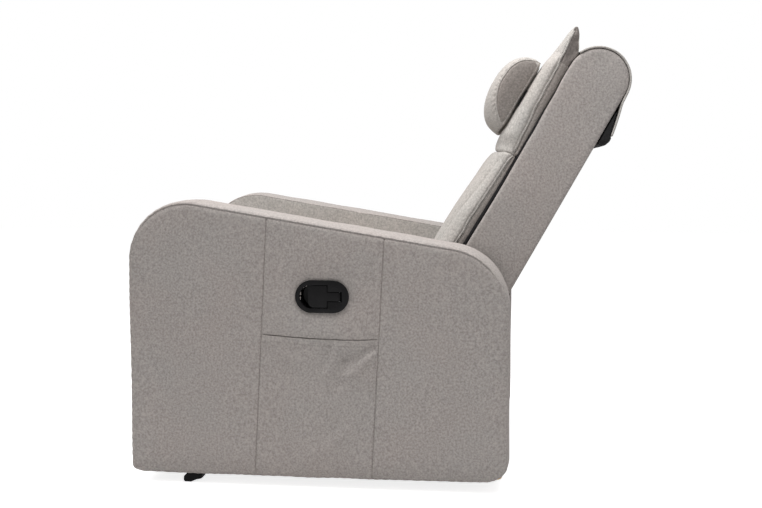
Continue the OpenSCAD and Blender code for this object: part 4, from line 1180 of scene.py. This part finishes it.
def seat_cushion():
    rings, low, high = crowned_box("seat_cushion", shrink=4, radii=[30, 48, 14, 10], edge_radius=20)
    piece = pad("seat_cushion_cloth", rings, "seat", "seat_cushion", cap=12)

    def settle(points, normals):
        """Sunk all over its top, and less so at its middle"""
        middle = np.exp(-(points[:, 0] / 200) ** 2) * step(points[:, 1], -520, -400)
        return step(normals[:, 2], 0.2, 0.8) * (3 * middle - 2.5)

    shift(piece, settle)
    inner, front, rear, top = high.x - 62, low.y + 105, high.y - 10, high.z
    seam = [(-inner, rear, top), (-inner, front + 40, top), (-inner + 40, front, top),
            (inner - 40, front, top), (inner, front + 40, top), (inner, rear, top)]
    sew(piece, "seat_top_seam", [smooth_path(resampled(seam, 6), 20)], "seat", depth=6, width=18,
        twin=1.2, material=thread_cloth)
    side = [(high.y - 12, top - 26), (low.y + 60, top - 26), (low.y + 26, top - 44), (low.y + 16, top - 84)]
    edges = [[(sign * (high.x + 4), y, z) for y, z in side] for sign in (-1, 1)]
    sew(piece, "seat_welt", [smooth_path(resampled(edge, 6), 10) for edge in edges], "seat", depth=2.5,
        width=6, radius=2.2)


def footrest_pad():
    rings, low, high = crowned_box("footrest_pad", shrink=3, radii=[18, 18, 4, 4], edge_radius=14)
    piece = pad("footrest_pad_cloth", rings, "footrest", "footrest_pad", cap=7)
    middle = (low.z + high.z) / 2
    path = resampled([(-high.x + 6, low.y, middle), (high.x - 6, low.y, middle)], 6)
    sew(piece, "footrest_seam", [path], "footrest", depth=6, width=16, twin=1.2, material=thread_cloth)


# ---- CAD nodes that stay ----
def dress_nodes():
    """Materials for the CAD nodes that stay as they are"""
    pairs = ("seat_plate", "base_plate", "footrest_bracket", "back_bracket", "link_a1", "link_a2",
             "link_b1", "link_b2")
    groups = [
        (plywood, ["arm_left_frame", "arm_right_frame", "footrest_board", "back_frame"]),
        (webbing_cloth, ["back_webbing"]),
        (black_steel, ["front_cross_rail", "rear_cross_rail", "seat_front_rail", "seat_rear_rail",
                       "latch_pawl", "drive_tube", "release_cable"]
         + [f"{pair}_{side}" for pair in pairs for side in ("left", "right")]),
        (zinc_steel, ["paddle_pin", "paddle_spring", "base_bolts", "seat_guide_studs", "seat_springs"]),
    ]
    for material, names in groups:
        for name in names:
            clad(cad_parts[name].data, material)


# ---- Backdrop, lamps and camera ----
def seen(tree):
    """1 where the camera sees a surface directly, in a mirror or through glass, and 0 elsewhere"""
    rays = node(tree, "LightPath").outputs
    direct = maths("MAXIMUM", rays["Is Camera Ray"], rays["Is Glossy Ray"])
    return maths("MAXIMUM", direct, rays["Is Transmission Ray"])


def backdrop():
    """White to the camera, and a dimmer even light on the chair"""
    world = bpy.data.worlds.new("studio")
    bpy.context.scene.world = world
    world.use_nodes = True
    tree = world.node_tree
    tree.nodes.clear()
    lights = [node(tree, "Background", Color=(1, 1, 1, 1), Strength=s).outputs[0] for s in (WORLD_LIGHT, 1.0)]
    mixed = fed(node(tree, "MixShader"), [(seen(tree), 0), (lights[0], 1), (lights[1], 2)])
    node(tree, "OutputWorld", Surface=mixed.outputs[0])


def floor():
    """A white floor that glows to the camera, so that only the chair's shadow shows on it"""
    mesh = bpy.data.meshes.new("floor")
    size = FLOOR_SIZE
    mesh.from_pydata([(-size, -size, 0), (size, -size, 0), (size, size, 0), (-size, size, 0)], [],
                     [(0, 1, 2, 3)])
    material, shader, _ = new_material("floor")
    glow = maths("MULTIPLY", seen(shader.id_data), FLOOR_GLOW)
    adjust(shader, Base_Color=(0.8, 0.8, 0.8, 1), Roughness=1, Specular_IOR_Level=0,
           Emission_Color=(1, 1, 1, 1), Emission_Strength=glow)
    mesh.materials.append(material)
    placed("floor", mesh)


def aimed(way):
    """The turn that points a lamp or camera along a direction"""
    return Vector(way).to_track_quat("-Z", "Y").to_euler()


def lamp(name, place, target, size, power):
    """A rectangular lamp, unseen itself"""
    data = bpy.data.lights.new(name, "AREA")
    data.shape = "RECTANGLE"
    data.size, data.size_y = size
    data.energy = power
    made = placed(name, data)
    made.location = place
    made.rotation_euler = aimed(Vector(target) - Vector(place))
    made.visible_camera = False


def camera():
    data = bpy.data.cameras.new("camera")
    data.lens = LENS
    data.sensor_width = SENSOR_WIDTH
    made = placed("camera", data)
    made.location = CAMERA_PLACE
    made.rotation_euler = aimed(CAMERA_WAY)
    bpy.context.scene.camera = made


bpy.context.scene.view_settings.view_transform = "Standard"
camera()
backdrop()
floor()
lamp("key", (0.9, -3.1, 2.5), (0, 0, 0.6), (2.2, 1.8), 38)
lamp("top", (0.25, -0.35, 2.6), (0, -0.1, 0.5), (1.2, 1.2), 38)
lamp("side", (1.0, 0.7, 2.5), (0, 0.1, 0.6), (1.5, 1.5), 29)

for side, sign in (("left", 1), ("right", -1)):
    arm_sides(side, sign, side == "left")
    arm_boxing(side, sign)
    arm_inner(side, sign)
    back_side(side, sign)
side_pocket()
eased_copy("handle_plate", "handle_bezel", 0.9, gloss_black, "base")
eased_copy("handle_lever", "handle_paddle", 0.9, gloss_black, "handle")
eased_copy("feet_front", "front_feet", 2.0, matte_black, "base")
eased_copy("feet_rear", "rear_feet", 2.0, matte_black, "base")
back_wrap()
lumbar_cushion()
upper_cushion()
head_flap()
flap_roll()
head_pillow()
pillow_strap()
seat_cushion()
footrest_pad()
dress_nodes()
